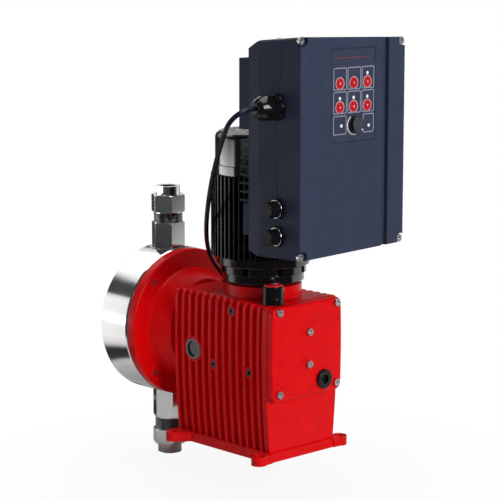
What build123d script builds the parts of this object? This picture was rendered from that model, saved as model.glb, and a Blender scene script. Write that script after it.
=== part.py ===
from build123d import *
import os
from math import cos, pi, radians, sin, sqrt

os.makedirs("parts", exist_ok=True)

# Motor-driven diaphragm metering pump: a ribbed worm gear housing on four feet, a flanged
# stainless head with ball valves, a vertical fan-cooled motor and a frequency inverter on it.
# Frame: origin at the centre of the four foot holes on the mounting plane, +X towards the
# flat end cover, -X towards the pump head, +Z up along the motor.

# ------------------------------------------------------------------ driving dimensions, mm
# Fits
seat_gap = 0.3          # between a moving piece and what it passes
running_fit = 0.05      # radial, shaft in bush
screw_gap = 0.15        # radial, screw in its hole

# Screws in the housing
m5_d = 5.0
m5_head_d = 8.5
m5_head_h = 5.0
through = 100.0         # long enough to cut right through
square_angles = (45, 135, 225, 315)

# Foot plate
foot_pitch_x = 148.5
foot_pitch_y = 131.0
foot_hole_d = 9.0
foot_ear_r = 9.0
foot_spot_r = 7.5
foot_spot_depth = 0.8
plate_t = 11.0
plate_half_width = 54.5
plate_lip = 2.3         # plate beyond the two end walls

# Ribbed housing
body_x0 = -79.5
body_x1 = 77.0
body_top = 182.5
belly_half_width = 57.4
belly_z = 125.0
barrel_r = 1100.0       # side wall arc over the height
rib_count = 14
rib_t = 4.0
rib_proud = 5.6
wall_t = 6.5
floor_t = 6.0
top_t = 7.5
end_wall_t = 7.5
shoulder_r = 5.0

# Axes
head_z = 128.5          # pump head, push rod and eccentric shaft
motor_x = 12.5
drive_x = 17.5          # eccentric shaft
valve_x = -156.5

# End cover on the +X face
cover_t = 8.6
gasket_t = 0.8
cover_low_z = 71.5
cover_corner_r = 9.0
cover_edge_r = 3.0
cover_margin = 0.7      # below the housing top and outside the ribs
cover_screw_y = 46.2
cover_screw_z = (80.6, 175.6)
centre_screw_z = (109.8, 147.8)
opening_half_width = 40.0
opening_low_z = 79.0
opening_high_z = 170.0
opening_corner_r = 10.0
drain_y = 25.7
drain_z = 88.2
drain_r = 11.4
drain_h = 4.0

# Round bearing cover in the -Y ribs
side_cover_r = 48.3
side_cover_gap = 0.3
side_seat_y = 43.5      # flat seat inside the wall
side_ledge_t = 6.0
side_ledge_r = 34.0
side_screw_r = 40.5
side_screw_angles = (90, 222, 318)
side_boss_r = 6.8
side_boss_bore = 5.0
side_boss_depth = 6.0

# Sight glass and filler
glass_x = -48.5
glass_z = 114.2
glass_r = 12.5
glass_depth = 4.0
glass_seat_t = 3.0      # ring and glass together
glass_rim = 4.0
vent_x = 68.0
vent_y = -37.6
vent_r = 12.5
vent_h = 21.0
vent_thread_r = 5.0
vent_boss_bore = 8.0

# Gear train
worm_distance = 31.5
worm_r = 9.0
wheel_r = worm_distance - worm_r
wheel_t = 11.0
pinion_teeth = 22
spur_teeth = 32
spur_module = 1.25
spur_tooth_depth = 2.2
wheel_teeth = 30
wheel_tooth_depth = 2.6
spur_z = 158.0
spur_t = 10.0
worm_z0 = 112.0
worm_z1 = 145.0
arm_z = (91.5, 148.0)
arm_t = 8.5
arm_half = 13.5
worm_shaft_r = 6.0
small_bearing_r = 11.0
small_bearing_bore = 4.0
small_bearing_t = 7.0
shaft_r = 7.5
shaft_step = 0.8
shaft_bearing_r = 14.0
shaft_bearing_t = 8.0
hub_r = 19.0
hub_y = 30.0
stroke = 8.0
throw = stroke / 2
eccentric_r = 12.5
eccentric_bearing_r = 16.5
eccentric_t = 14.0

# Push rod and lantern
rod_r = 7.5
rod_front_x = -121.0
follower_t = 4.7
follower_r = 9.0
collar_r = 15.0
collar_t = 5.0
collar_x = -36.0
bush_r = 13.0
spring_wire = 3.0
spring_r = 12.2
spring_turns = 6
rim_r = 90.0
rim_t = 12.0
rim_front_x = -129.4
rim_edge_r = 2.0
step_r = 67.5
cone_r = 57.5
cone_back_x = -90.0
neck_r = 50.0
spigot_r = 29.8
spigot_len = 6.5
bowl_r = 60.0
lantern_back_x = -96.0
lantern_screw_r = 40.0

# Pump head
diaphragm_t = 1.6
core_r = 24.0
core_t = 9.0
head_r = 90.4
head_t = 47.0
head_edge = 1.2
chamber_r = 58.0
chamber_t = 15.0
head_bolt_r = 78.5
head_bolt_d = 8.0
head_bolt_head_d = 13.0
head_bolt_head_h = 8.0
head_bolt_socket = 6.0
port_r = 13.6
channel_r = 6.0
channel_offset = 48.0
spot_offset = 86.0      # flat for each valve, from the head axis
spot_r = 23.0
valve_neck_depth = 10.0

# Valves
valve_hex = 37.0
valve_thread_r = 17.0
valve_neck_r = 13.5
valve_passage_r = 7.0
ball_r = 8.0
ball_lift = 3.0
cage_r = 9.6
seat_bore_r = 6.0
seat_t = 5.0
nut_hex = 37.5
tail_r = 14.7
tail_flat = 27.0
tail_bore_r = 9.3
tail_collar_t = 5.0
tail_flat_len = 8.0
collar_seal_gap = 0.3

# Motor
motor_ring_r = 47.6
motor_ring_z = (196.8, 210.0)
motor_ring_chamfer = 4.0
motor_pad_r = 45.0      # cast pad on the housing top, up to the ring
motor_spigot_r = 35.8
motor_spigot_bore = 31.0
motor_spigot_len = 9.0
spigot_fit = 0.2
waist_r = 50.0
shield_r = 54.0
shield_z = (219.0, 230.0)
stator_z = (230.0, 325.0)
fin_r = 61.0
fin_root_r = 53.5
fin_t = 2.2
fin_count = 56
core_z = (245.0, 310.0)
stator_bore_r = 27.5
stator_r = 48.0
air_gap = 0.5
motor_shaft_r = 7.0
rotor_shaft_r = 9.0
fan_cover_top = 374.0
fan_cover_r = 56.0
fan_cover_t = 1.7
fan_r = 47.0
fan_hub_r = 10.0
fan_blades = 7
fan_blade_t = 2.0
fan_cover_edge_r = 8.0
motor_bolt_circle = 40.6
motor_bolt_count = 8
motor_bolt_d = 4.0
motor_bolt_head_d = 7.0
motor_bolt_head_h = 4.0
motor_bolt_grip = 12.0  # thread length in the pad

# Inverter; its top and bottom edges draw together towards +Y
top_drop = 6.0
low_rise = 4.5
edge_low_z = 245.0
edge_high_z = 484.0
rear_low_z = 249.0
rear_high_z = 474.0
inner_front_x = 149.5
seam = ((129.2, 486), (123, 426), (115, 371), (121.5, 320), (129, 270), (134.5, 245))
seam_gap = 0.4
box_half_width = 82.6
box_front_x = 156.4
field_x = 154.9
box_low_z = 247.0
box_high_z = 490.0
box_wall = 5.0
side_edge_x = 91.5
rear_x = 68.0
rear_half_width = 76.0
motor_clear_r = 64.5

gland_place = (119.85, 413.3)
gland_tongue_r = 15.0
gland_hole_r = 10.0
plug_places = ((121.9, 302.0), (122.0, 271.5))
plug_tongue_r = 12.0
plug_hole_r = 7.0
left_band_y = -49.0
groove_y = (47.3, 55.5)
groove_depth = 4.0
corner_screws = ((-78.6, 485.6), (-78.4, 251.2), (78.4, 479.6), (78.6, 255.6))
notch_r = 6.6
notch_depth = 6.0
panel_half_width = 35.0
panel_z = (372.0, 475.0)
panel_t = 0.7
panel_depth = 1.0
key_y = (-20.9, 0.8, 22.5)
key_z = (437.0, 411.0)
key_r = 5.9
key_gap = 0.4
key_x = (152.6, 155.3)
key_pocket_x = 151.2
knob_y = 2.0
knob_z = 390.5
knob_r = 9.5
knob_x = (154.9, 162.0)
knob_spindle_r = 3.0
back_block_x = 46.4
back_block_z = (383.0, 462.0)
back_half_width = 70.0
sink_fin_count = 8
sink_fin_t = 2.5
sink_fin_pitch = 9.5
sink_fin_z = 302.0
sink_fin_x = 47.8
saddle_z = (262.0, 298.0)
saddle_half_width = 60.0
saddle_x = 42.0

# Cable
cable_d = 5.4
cable_route = (
    (119.85, -117.0, 413.3),
    (119.85, -126.2, 413.3),
    (117.3, -134.8, 410.1),
    (112.1, -141.4, 403.5),
    (105.5, -143.1, 395.0),
    (91.4, -135.8, 381.1),
    (63.0, -119.0, 355.0),
    (29.5, -97.0, 323.0),
    (-3.5, -73.0, 289.0),
    (-33.0, -49.0, 257.0),
    (-53.0, -28.5, 231.5),
    (-64.0, -10.5, 211.5),
    (-69.0, 6.0, 198.0),
    (-71.6, 17.0, 186.8),
)
grommet_hole_r = 4.3
grommet_hole_depth = 5.0
grommet_r = 6.0
grommet_h = 2.0


# ------------------------------------------------------------------ shared helpers
def outline(*points):
    """Closed straight-sided profile in the open sketch."""
    return Polygon(*points, align=None)


def half_width(z):
    """Half width over the rib tips at height z."""
    return belly_half_width - barrel_r + sqrt(barrel_r**2 - (z - belly_z) ** 2)


def barrel(inset, z_low, z_high, corner_r):
    """Barrel-sided section of the housing, drawn with its height along local Y."""
    z_mid = (z_low + z_high) / 2
    with BuildSketch() as section:
        with BuildLine():
            right = ThreePointArc(
                (half_width(z_low) - inset, z_low),
                (half_width(z_mid) - inset, z_mid),
                (half_width(z_high) - inset, z_high),
            )
            Line(right @ 1, (-(right @ 1).X, z_high))
            left = mirror(right, about=Plane.YZ)
            Line(left @ 0, right @ 0)
        make_face()
        if corner_r:
            fillet(section.vertices().group_by(Axis.Y)[-1], radius=corner_r)
    return section.sketch


def turned(axis, *profiles, plane=Plane.XZ):
    """Turned solid from straight-sided profiles on the given plane."""
    with BuildPart() as piece:
        with BuildSketch(plane):
            for points in profiles:
                outline(*points)
        revolve(axis=axis)
    return piece.part


def cap_screws(plane, places, thread_d, length, head_d, head_h, socket):
    """Socket head screws whose heads stand on the plane."""
    with BuildPart() as screws:
        with BuildSketch(plane):
            with Locations(*places):
                Circle(head_d / 2)
        extrude(amount=head_h)
        with BuildSketch(plane):
            with Locations(*places):
                Circle(thread_d / 2)
        extrude(amount=-length)
        with BuildSketch(plane.offset(head_h)):
            with Locations(*places):
                RegularPolygon(socket / 2, 6, major_radius=False)
        extrude(amount=-0.55 * head_h, mode=Mode.SUBTRACT)
    return screws.part


def polar(centre, radius, angles):
    """Points on a circle, as 2-D places."""
    return [
        (centre[0] + radius * cos(radians(a)), centre[1] + radius * sin(radians(a)))
        for a in angles
    ]


def save(part, name):
    part.label = name
    export_step(part, f"parts/{name}.step")


head_axis = Axis((0, 0, head_z), (1, 0, 0))
motor_axis = Axis((motor_x, 0, 0), (0, 0, 1))
valve_axis = Axis((valve_x, 0, 0), (0, 0, 1))
spur_distance = spur_module * (pinion_teeth + spur_teeth) / 2
worm_x = drive_x - worm_distance
worm_y = sqrt(spur_distance**2 - (motor_x - worm_x) ** 2)
pinion_r = spur_module * pinion_teeth / 2
spur_r = spur_module * spur_teeth / 2
cable_end = Vector(*cable_route[-1])
end_run = (cable_end - Vector(*cable_route[-2])).normalized()
grommet_spot = cable_end + end_run * ((cable_end.Z - body_top) / -end_run.Z)
grommet_place = (grommet_spot.X, grommet_spot.Y)
cover_front_x = body_x1 + gasket_t + cover_t
cover_top_z = body_top - cover_margin

# ------------------------------------------------------------------ gear housing
bolt_angles = [(i + 0.5) * 360 / motor_bolt_count for i in range(motor_bolt_count)]
rib_pitch = (body_x1 - body_x0 - rib_t) / (rib_count - 1) * 0.998
rib_places = [(body_x0 + i * rib_pitch, 0, 0) for i in range(rib_count)]
cavity_inset = rib_proud + wall_t

with BuildPart() as ribbed_block:
    with BuildSketch(Plane.YZ.offset(body_x0)):
        add(barrel(rib_proud, plate_t / 2, body_top, shoulder_r))
    extrude(amount=body_x1 - body_x0)
    for place in rib_places:
        with BuildSketch(Plane.YZ.offset(place[0])):
            add(barrel(0, plate_t / 2, body_top, shoulder_r + 1))
        extrude(amount=rib_t)
    with BuildSketch(Plane.YZ.offset(body_x1 - end_wall_t)):
        add(barrel(0, plate_t / 2, body_top, shoulder_r + 1))
    extrude(amount=end_wall_t)

ear_x = foot_pitch_x / 2
ear_y = foot_pitch_y / 2
plate_x0 = body_x0 - plate_lip
plate_x1 = body_x1 + plate_lip
rear_flare = 20.0       # run of the flared edge before a rear ear

with BuildPart() as gear_housing:
    with BuildSketch(Plane.XY):
        with Locations(((plate_x0 + plate_x1) / 2, 0)):
            Rectangle(plate_x1 - plate_x0, 2 * plate_half_width)
        for side in (1, -1):
            outline(
                (-ear_x + rear_flare, side * (plate_half_width - 8)),
                (-ear_x + rear_flare, side * plate_half_width),
                (-ear_x + foot_ear_r / 2, side * (ear_y + 0.87 * foot_ear_r)),
                (-ear_x - foot_ear_r, side * ear_y),
                (-ear_x - foot_ear_r + 1.5, side * (plate_half_width - 8)),
            )
            with Locations((ear_x - 1, side * (ear_y + plate_half_width) / 2 - side * 2)):
                Rectangle(2 * foot_ear_r - 2, ear_y - plate_half_width + 4)
        with GridLocations(foot_pitch_x, foot_pitch_y, 2, 2):
            Circle(foot_ear_r)
    extrude(amount=plate_t)
    add(ribbed_block.part)
    # round pad under the motor
    with BuildSketch(Plane.XY.offset(body_top - 1)):
        with Locations((motor_x, 0)):
            Circle(motor_pad_r)
    extrude(amount=motor_ring_z[0] - body_top + 1)
    # glass boss between the ribs
    with BuildSketch(Plane.XZ.offset(half_width(glass_z) - cavity_inset)):
        with Locations((glass_x, glass_z)):
            Circle(glass_r + 2.5)
    extrude(amount=cavity_inset - 1)
    # inner space, open at the front, the top and the round side cover
    with BuildSketch(Plane.YZ.offset(body_x0 + end_wall_t)):
        add(barrel(cavity_inset, plate_t + floor_t, body_top - top_t, 0))
    extrude(amount=body_x1 - body_x0 - 2 * end_wall_t, mode=Mode.SUBTRACT)
    with BuildSketch(Plane.YZ.offset(body_x1)):
        with Locations((0, (opening_low_z + opening_high_z) / 2)):
            RectangleRounded(
                2 * opening_half_width, opening_high_z - opening_low_z, opening_corner_r
            )
    extrude(amount=-end_wall_t - 1, mode=Mode.SUBTRACT)
    # ledge behind the round side cover, and its cut through wall and ribs
    with BuildSketch(Plane.XZ.offset(side_seat_y - side_ledge_t)):
        with Locations((drive_x, head_z)):
            Circle(side_cover_r + 4.5)
            Circle(side_ledge_r, mode=Mode.SUBTRACT)
    extrude(amount=side_ledge_t + 4)
    with BuildSketch(Plane.XZ.offset(side_seat_y)):
        with Locations((drive_x, head_z)):
            Circle(side_cover_r + side_cover_gap)
    extrude(amount=through, mode=Mode.SUBTRACT)
    with BuildSketch(Plane.XZ.offset(side_seat_y - side_ledge_t)):
        with Locations(*polar((drive_x, head_z), side_screw_r, side_screw_angles)):
            Circle(m5_d / 2 + screw_gap)
    extrude(amount=side_ledge_t, mode=Mode.SUBTRACT)
    # far bearing hub on the +Y wall
    with BuildSketch(Plane.XZ.offset(-hub_y)):
        with Locations((drive_x, head_z)):
            Circle(hub_r)
    extrude(amount=-(half_width(head_z) - cavity_inset - hub_y + 2))
    with BuildSketch(Plane.XZ.offset(-hub_y)):
        with Locations((drive_x, head_z)):
            Circle(shaft_bearing_r)
    extrude(amount=-shaft_bearing_t - 0.3, mode=Mode.SUBTRACT)
    # two arms that carry the worm shaft bearings
    arm_reach = half_width(head_z) - cavity_inset + 3
    for z in arm_z:
        with BuildSketch(Plane.XY.offset(z)):
            with Locations((worm_x, (worm_y + arm_reach) / 2)):
                Rectangle(2 * arm_half, arm_reach - worm_y)
            with Locations((worm_x, worm_y)):
                Circle(arm_half)
        extrude(amount=arm_t)
        with BuildSketch(Plane.XY.offset(z)):
            with Locations((worm_x, worm_y)):
                Circle(worm_shaft_r + 1)
        extrude(amount=arm_t, mode=Mode.SUBTRACT)
    with BuildSketch(Plane.XY.offset(arm_z[0] + arm_t)):
        with Locations((worm_x, worm_y)):
            Circle(small_bearing_r)
    extrude(amount=-small_bearing_t, mode=Mode.SUBTRACT)
    with BuildSketch(Plane.XY.offset(arm_z[1])):
        with Locations((worm_x, worm_y)):
            Circle(small_bearing_r)
    extrude(amount=small_bearing_t, mode=Mode.SUBTRACT)
    # motor seat in the pad
    with BuildSketch(Plane.XY.offset(motor_ring_z[0])):
        with Locations((motor_x, 0)):
            Circle(motor_spigot_r + spigot_fit)
    extrude(amount=body_top - top_t - 1 - motor_ring_z[0], mode=Mode.SUBTRACT)
    with BuildSketch(Plane.XY.offset(motor_ring_z[0])):
        with Locations(*polar((motor_x, 0), motor_bolt_circle, bolt_angles)):
            Circle(motor_bolt_d / 2 + screw_gap)
    extrude(amount=-motor_bolt_grip - 1, mode=Mode.SUBTRACT)
    # blind hole for the cable grommet
    with BuildSketch(Plane.XY.offset(body_top)):
        with Locations(grommet_place):
            Circle(grommet_hole_r)
    extrude(amount=-grommet_hole_depth, mode=Mode.SUBTRACT)
    # push rod bore and lantern screws in the rear wall
    with BuildSketch(Plane.YZ.offset(body_x0)):
        with Locations((0, head_z)):
            Circle(spigot_r + 0.02)
        with Locations(*polar((0, head_z), lantern_screw_r, square_angles)):
            Circle(4 + screw_gap)
    extrude(amount=end_wall_t + 1, mode=Mode.SUBTRACT)
    # cover screws, filler, sight glass
    with BuildSketch(Plane.YZ.offset(body_x1)):
        with Locations(*[(s * cover_screw_y, z) for s in (1, -1) for z in cover_screw_z]):
            Circle(m5_d / 2 + screw_gap)
    extrude(amount=-end_wall_t, mode=Mode.SUBTRACT)
    with BuildSketch(Plane.XY.offset(body_top)):
        with Locations((vent_x, vent_y)):
            Circle(vent_boss_bore)
    extrude(amount=-top_t - 1, mode=Mode.SUBTRACT)
    with BuildSketch(Plane.XZ.offset(half_width(glass_z) - glass_depth - glass_seat_t)):
        with Locations((glass_x, glass_z)):
            Circle(glass_r)
    extrude(amount=glass_depth + glass_seat_t + 2, mode=Mode.SUBTRACT)
    with BuildSketch(Plane.XZ.offset(half_width(glass_z))):
        with Locations((glass_x, glass_z)):
            Circle(glass_r - glass_rim)
    extrude(amount=-cavity_inset - 2, mode=Mode.SUBTRACT)
    # foot holes with spot faces
    with BuildSketch(Plane.XY):
        with GridLocations(foot_pitch_x, foot_pitch_y, 2, 2):
            Circle(foot_hole_d / 2)
    extrude(amount=plate_t, mode=Mode.SUBTRACT)
    with BuildSketch(Plane.XY.offset(plate_t)):
        with GridLocations(foot_pitch_x, foot_pitch_y, 2, 2):
            Circle(foot_spot_r)
    extrude(amount=-foot_spot_depth, mode=Mode.SUBTRACT)
save(gear_housing.part, "gear_housing")

# ------------------------------------------------------------------ round side cover
with BuildPart() as side_cover:
    add(ribbed_block.part)
    with BuildSketch(Plane.XZ.offset(side_seat_y)):
        with Locations((drive_x, head_z)):
            Circle(side_cover_r)
    extrude(amount=through, mode=Mode.INTERSECT)
    # hub with the near bearing pocket
    with BuildSketch(Plane.XZ.offset(hub_y)):
        with Locations((drive_x, head_z)):
            Circle(hub_r)
    extrude(amount=side_seat_y - hub_y)
    with BuildSketch(Plane.XZ.offset(hub_y)):
        with Locations((drive_x, head_z)):
            Circle(shaft_bearing_r)
    extrude(amount=shaft_bearing_t + 0.3, mode=Mode.SUBTRACT)
    # screw bosses, recessed below the rib tips
    with BuildSketch(Plane.XZ.offset(side_seat_y)):
        with Locations(*polar((drive_x, head_z), side_screw_r, side_screw_angles)):
            Circle(side_boss_r)
    extrude(amount=half_width(head_z) - side_seat_y - 0.8)
    with BuildSketch(Plane.XZ.offset(half_width(head_z) - side_boss_depth)):
        with Locations(*polar((drive_x, head_z), side_screw_r, side_screw_angles)):
            Circle(side_boss_bore)
    extrude(amount=side_boss_depth, mode=Mode.SUBTRACT)
    with BuildSketch(Plane.XZ.offset(side_seat_y)):
        with Locations(*polar((drive_x, head_z), side_screw_r, side_screw_angles)):
            Circle(m5_d / 2 + screw_gap)
    extrude(amount=20, mode=Mode.SUBTRACT)
save(side_cover.part, "side_cover")

side_screw_seat = half_width(head_z) - side_boss_depth
with BuildPart() as side_cover_screws:
    add(
        cap_screws(
            Plane.XZ.offset(side_screw_seat),
            polar((drive_x, head_z), side_screw_r, side_screw_angles),
            m5_d,
            side_screw_seat - side_seat_y + side_ledge_t - 1,
            m5_head_d,
            m5_head_h,
            4.0,
        )
    )
save(side_cover_screws.part, "side_cover_screws")

# ------------------------------------------------------------------ sight glass
glass_seat_y = half_width(glass_z) - glass_depth - 3
with BuildPart() as sight_glass_ring:
    with BuildSketch(Plane.XZ.offset(glass_seat_y)):
        with Locations((glass_x, glass_z)):
            Circle(glass_r - 0.05)
            Circle(glass_r - 3.0, mode=Mode.SUBTRACT)
    extrude(amount=glass_depth + 2.4)
    chamfer(sight_glass_ring.edges().group_by(Axis.Y)[0], length=0.6)
save(sight_glass_ring.part, "sight_glass_ring")

with BuildPart() as sight_glass:
    with BuildSketch(Plane.XZ.offset(glass_seat_y)):
        with Locations((glass_x, glass_z)):
            Circle(glass_r - 3.05)
    extrude(amount=glass_depth)
save(sight_glass.part, "sight_glass")

# ------------------------------------------------------------------ oil filler with vent
with BuildPart() as vent_plug:
    with BuildSketch(Plane.XZ):
        outline(
            (vent_x, body_top - top_t),
            (vent_x + vent_thread_r, body_top - top_t),
            (vent_x + vent_thread_r, body_top),
            (vent_x + vent_r, body_top),
            (vent_x + vent_r, body_top + 0.34 * vent_h),
            (vent_x + vent_r - 0.7, body_top + 0.35 * vent_h),
            (vent_x + vent_r - 0.7, body_top + 0.38 * vent_h),
            (vent_x + vent_r, body_top + 0.39 * vent_h),
            (vent_x + vent_r, body_top + vent_h - 1.2),
            (vent_x + vent_r - 1.2, body_top + vent_h),
            (vent_x, body_top + vent_h),
        )
    revolve(axis=Axis((vent_x, 0, 0), (0, 0, 1)))
vent_solid = vent_plug.part.moved(Location((0, vent_y, 0)))
save(vent_solid, "vent_plug")

# ------------------------------------------------------------------ end cover
gasket_x = body_x1
with BuildPart() as end_cover_gasket:
    with BuildSketch(Plane.YZ.offset(gasket_x)):
        add(barrel(cover_margin + 1.2, cover_low_z + 1.2, cover_top_z - 1.2, cover_corner_r - 1))
        with Locations((0, (opening_low_z + opening_high_z) / 2)):
            RectangleRounded(
                2 * opening_half_width,
                opening_high_z - opening_low_z,
                opening_corner_r,
                mode=Mode.SUBTRACT,
            )
        with Locations(*[(s * cover_screw_y, z) for s in (1, -1) for z in cover_screw_z]):
            Circle(m5_d / 2 + screw_gap, mode=Mode.SUBTRACT)
        with Locations((drain_y, drain_z)):
            Circle(drain_r - 2, mode=Mode.SUBTRACT)
    extrude(amount=gasket_t)
save(end_cover_gasket.part, "end_cover_gasket")

with BuildPart() as end_cover:
    with BuildSketch(Plane.YZ.offset(gasket_x + gasket_t)):
        add(barrel(cover_margin, cover_low_z, cover_top_z, 0))
    extrude(amount=cover_t)
    fillet(end_cover.edges().filter_by(Axis.X), radius=cover_corner_r)
    fillet(end_cover.faces().sort_by(Axis.X)[-1].outer_wire().edges(), radius=cover_edge_r)
    with BuildSketch(Plane.YZ.offset(cover_front_x)):
        with Locations(*[(s * cover_screw_y, z) for s in (1, -1) for z in cover_screw_z]):
            Circle(m5_d / 2 + screw_gap)
        with Locations(*[(0, z) for z in centre_screw_z]):
            Circle(m5_d / 2 + screw_gap)
        with Locations((drain_y, drain_z)):
            Circle(8.3)
    extrude(amount=-cover_t, mode=Mode.SUBTRACT)
    with BuildSketch(Plane.YZ.offset(cover_front_x)):
        with Locations(*[(s * cover_screw_y, z) for s in (1, -1) for z in cover_screw_z]):
            Circle(4.6)
    extrude(amount=-1.5, mode=Mode.SUBTRACT)
save(end_cover.part, "end_cover")

with BuildPart() as end_cover_screws:
    add(
        cap_screws(
            Plane.YZ.offset(cover_front_x - 1.5),
            [(s * cover_screw_y, z) for s in (1, -1) for z in cover_screw_z],
            m5_d,
            cover_t - 1.5 + gasket_t + end_wall_t - 0.5,
            m5_head_d,
            m5_head_h,
            4.0,
        )
    )
    add(
        cap_screws(
            Plane.YZ.offset(cover_front_x),
            [(0, z) for z in centre_screw_z],
            m5_d,
            cover_t + 4.0,
            m5_head_d,
            m5_head_h,
            4.0,
        )
    )
save(end_cover_screws.part, "end_cover_screws")

with BuildPart() as drain_plug:
    with BuildSketch(Plane.YZ.offset(cover_front_x)):
        with Locations((drain_y, drain_z)):
            Circle(drain_r)
    extrude(amount=drain_h)
    chamfer(drain_plug.faces().sort_by(Axis.X)[-1].edges(), length=1.0)
    with BuildSketch(Plane.YZ.offset(cover_front_x)):
        with Locations((drain_y, drain_z)):
            Circle(8.25)
    extrude(amount=-cover_t - gasket_t - 3)
    with BuildSketch(Plane.YZ.offset(cover_front_x + drain_h)):
        with Locations((drain_y, drain_z)):
            RegularPolygon(5.0, 6, major_radius=False)
    extrude(amount=-6, mode=Mode.SUBTRACT)
save(drain_plug.part, "drain_plug")

# ------------------------------------------------------------------ lantern and its screws
rim_back_x = rim_front_x + rim_t


def from_head(*points):
    """Profile points (x, radius) about the pump head axis, as (x, z)."""
    return [(x, head_z + r) for x, r in points]


with BuildPart() as head_flange:
    add(
        turned(
            head_axis,
            from_head(
                (rim_front_x, bowl_r),
                (rim_front_x, rim_r - 0.5),
                (rim_front_x + 0.5, rim_r),
                (rim_back_x - rim_edge_r, rim_r),
                (rim_back_x - 0.6, rim_r - 0.6),
                (rim_back_x, rim_r - rim_edge_r),
                (rim_back_x, step_r),
                (rim_back_x + 3.0, step_r - 1.5),
                (cone_back_x, cone_r),
                (cone_back_x + 1.5, cone_r - 1.5),
                (cone_back_x + 2.0, neck_r),
                (body_x0, neck_r),
                (body_x0, spigot_r),
                (body_x0 + spigot_len, spigot_r),
                (body_x0 + spigot_len, bush_r + 0.02),
                (lantern_back_x, bush_r + 0.02),
                (lantern_back_x, neck_r),
                (lantern_back_x - 8.0, bowl_r - 4.0),
            ),
        )
    )
    with BuildSketch(Plane.YZ.offset(rim_front_x)):
        with Locations(*polar((0, head_z), head_bolt_r, square_angles)):
            Circle(head_bolt_d / 2 + screw_gap)
    extrude(amount=rim_t, mode=Mode.SUBTRACT)
    with BuildSketch(Plane.YZ.offset(lantern_back_x)):
        with Locations(*polar((0, head_z), lantern_screw_r, square_angles)):
            Circle(4 + screw_gap)
    extrude(amount=body_x0 - lantern_back_x, mode=Mode.SUBTRACT)
save(head_flange.part, "head_flange")

with BuildPart() as lantern_screws:
    add(
        cap_screws(
            -Plane.YZ.offset(lantern_back_x),
            [(y, -z) for y, z in polar((0, head_z), lantern_screw_r, square_angles)],
            head_bolt_d,
            body_x0 - lantern_back_x + end_wall_t - 0.5,
            head_bolt_head_d,
            head_bolt_head_h,
            head_bolt_socket,
        )
    )
save(lantern_screws.part, "lantern_screws")

# ------------------------------------------------------------------ gear train
def bearing(plane, place, bore_r, outer_r, thickness):
    """Ball bearing as inner ring, outer ring and a shielded middle, on the plane."""
    with BuildPart() as ring:
        with BuildSketch(plane):
            with Locations(place):
                Circle(outer_r)
                Circle(bore_r, mode=Mode.SUBTRACT)
        extrude(amount=thickness)
        groove_in = bore_r + 0.3 * (outer_r - bore_r)
        groove_out = outer_r - 0.3 * (outer_r - bore_r)
        with BuildSketch(plane, plane.offset(thickness - 0.5)):
            with Locations(place):
                Circle(groove_out)
                Circle(groove_in, mode=Mode.SUBTRACT)
        extrude(amount=0.5, mode=Mode.SUBTRACT)
    return ring.part


lower_bearing_z = motor_ring_z[1] + 3.0
upper_bearing_z = stator_z[1] - 5.7
motor_bearing_t = (11.0, 9.0)
motor_bearing_r = (17.5, 15.0)
worm_bearing_z = (arm_z[0] + arm_t - small_bearing_t, arm_z[1])
with BuildPart() as ball_bearings:
    for z in worm_bearing_z:
        add(
            bearing(
                Plane.XY.offset(z),
                (worm_x, worm_y),
                small_bearing_bore + running_fit,
                small_bearing_r - 0.02,
                small_bearing_t,
            )
        )
    for plane in (Plane.XZ.offset(hub_y), -Plane.XZ.offset(-hub_y)):
        z_sign = plane.y_dir.Z
        add(
            bearing(
                plane,
                (drive_x, z_sign * head_z),
                shaft_r + running_fit,
                shaft_bearing_r - 0.02,
                shaft_bearing_t,
            )
        )
    for z, t, r in zip((lower_bearing_z, upper_bearing_z), motor_bearing_t, motor_bearing_r):
        add(bearing(Plane.XY.offset(z), (motor_x, 0), motor_shaft_r + running_fit, r - 0.02, t))
save(ball_bearings.part, "ball_bearings")
mesh_gap = 0.3


def tooth_spaces(teeth, tip_r, depth):
    """Spaces between the teeth of a gear about the present location."""
    root_r = tip_r - depth
    wide = pi * tip_r / teeth
    narrow = 0.45 * wide
    with BuildSketch() as spaces:
        with PolarLocations(0, teeth):
            Polygon(
                (root_r, -narrow / 2),
                (tip_r + 1, -wide / 2),
                (tip_r + 1, wide / 2),
                (root_r, narrow / 2),
                align=None,
            )
    return spaces.sketch


with BuildPart() as worm_shaft:
    with BuildSketch(Plane.XY.offset(worm_bearing_z[0])):
        with Locations((worm_x, worm_y)):
            Circle(small_bearing_bore)
    extrude(amount=spur_z + spur_t + 2 - worm_bearing_z[0])
    with BuildSketch(Plane.XY.offset(arm_z[0] + arm_t + 0.2)):
        with Locations((worm_x, worm_y)):
            Circle(worm_shaft_r)
    extrude(amount=arm_z[1] - arm_z[0] - arm_t - 0.4)
    with BuildSketch(Plane.XY.offset(worm_z0)):
        with Locations((worm_x, worm_y)):
            Circle(worm_r - mesh_gap / 2)
    extrude(amount=worm_z1 - worm_z0)
save(worm_shaft.part, "worm_shaft")

with BuildPart() as spur_gear:
    with BuildSketch(Plane.XY.offset(spur_z)):
        with Locations((worm_x, worm_y)):
            Circle(spur_r - mesh_gap / 2)
            Circle(small_bearing_bore + 0.01, mode=Mode.SUBTRACT)
            add(
                tooth_spaces(spur_teeth, spur_r - mesh_gap / 2, spur_tooth_depth),
                mode=Mode.SUBTRACT,
            )
    extrude(amount=spur_t)
save(spur_gear.part, "spur_gear")

with BuildPart() as worm_wheel:
    with BuildSketch(Plane.XZ.offset(-worm_y - wheel_t / 2)):
        with Locations((drive_x, head_z)):
            Circle(wheel_r - mesh_gap / 2)
            Circle(shaft_r + shaft_step + 0.01, mode=Mode.SUBTRACT)
            add(
                tooth_spaces(wheel_teeth, wheel_r - mesh_gap / 2, wheel_tooth_depth),
                mode=Mode.SUBTRACT,
            )
    extrude(amount=wheel_t)
save(worm_wheel.part, "worm_wheel")

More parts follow.
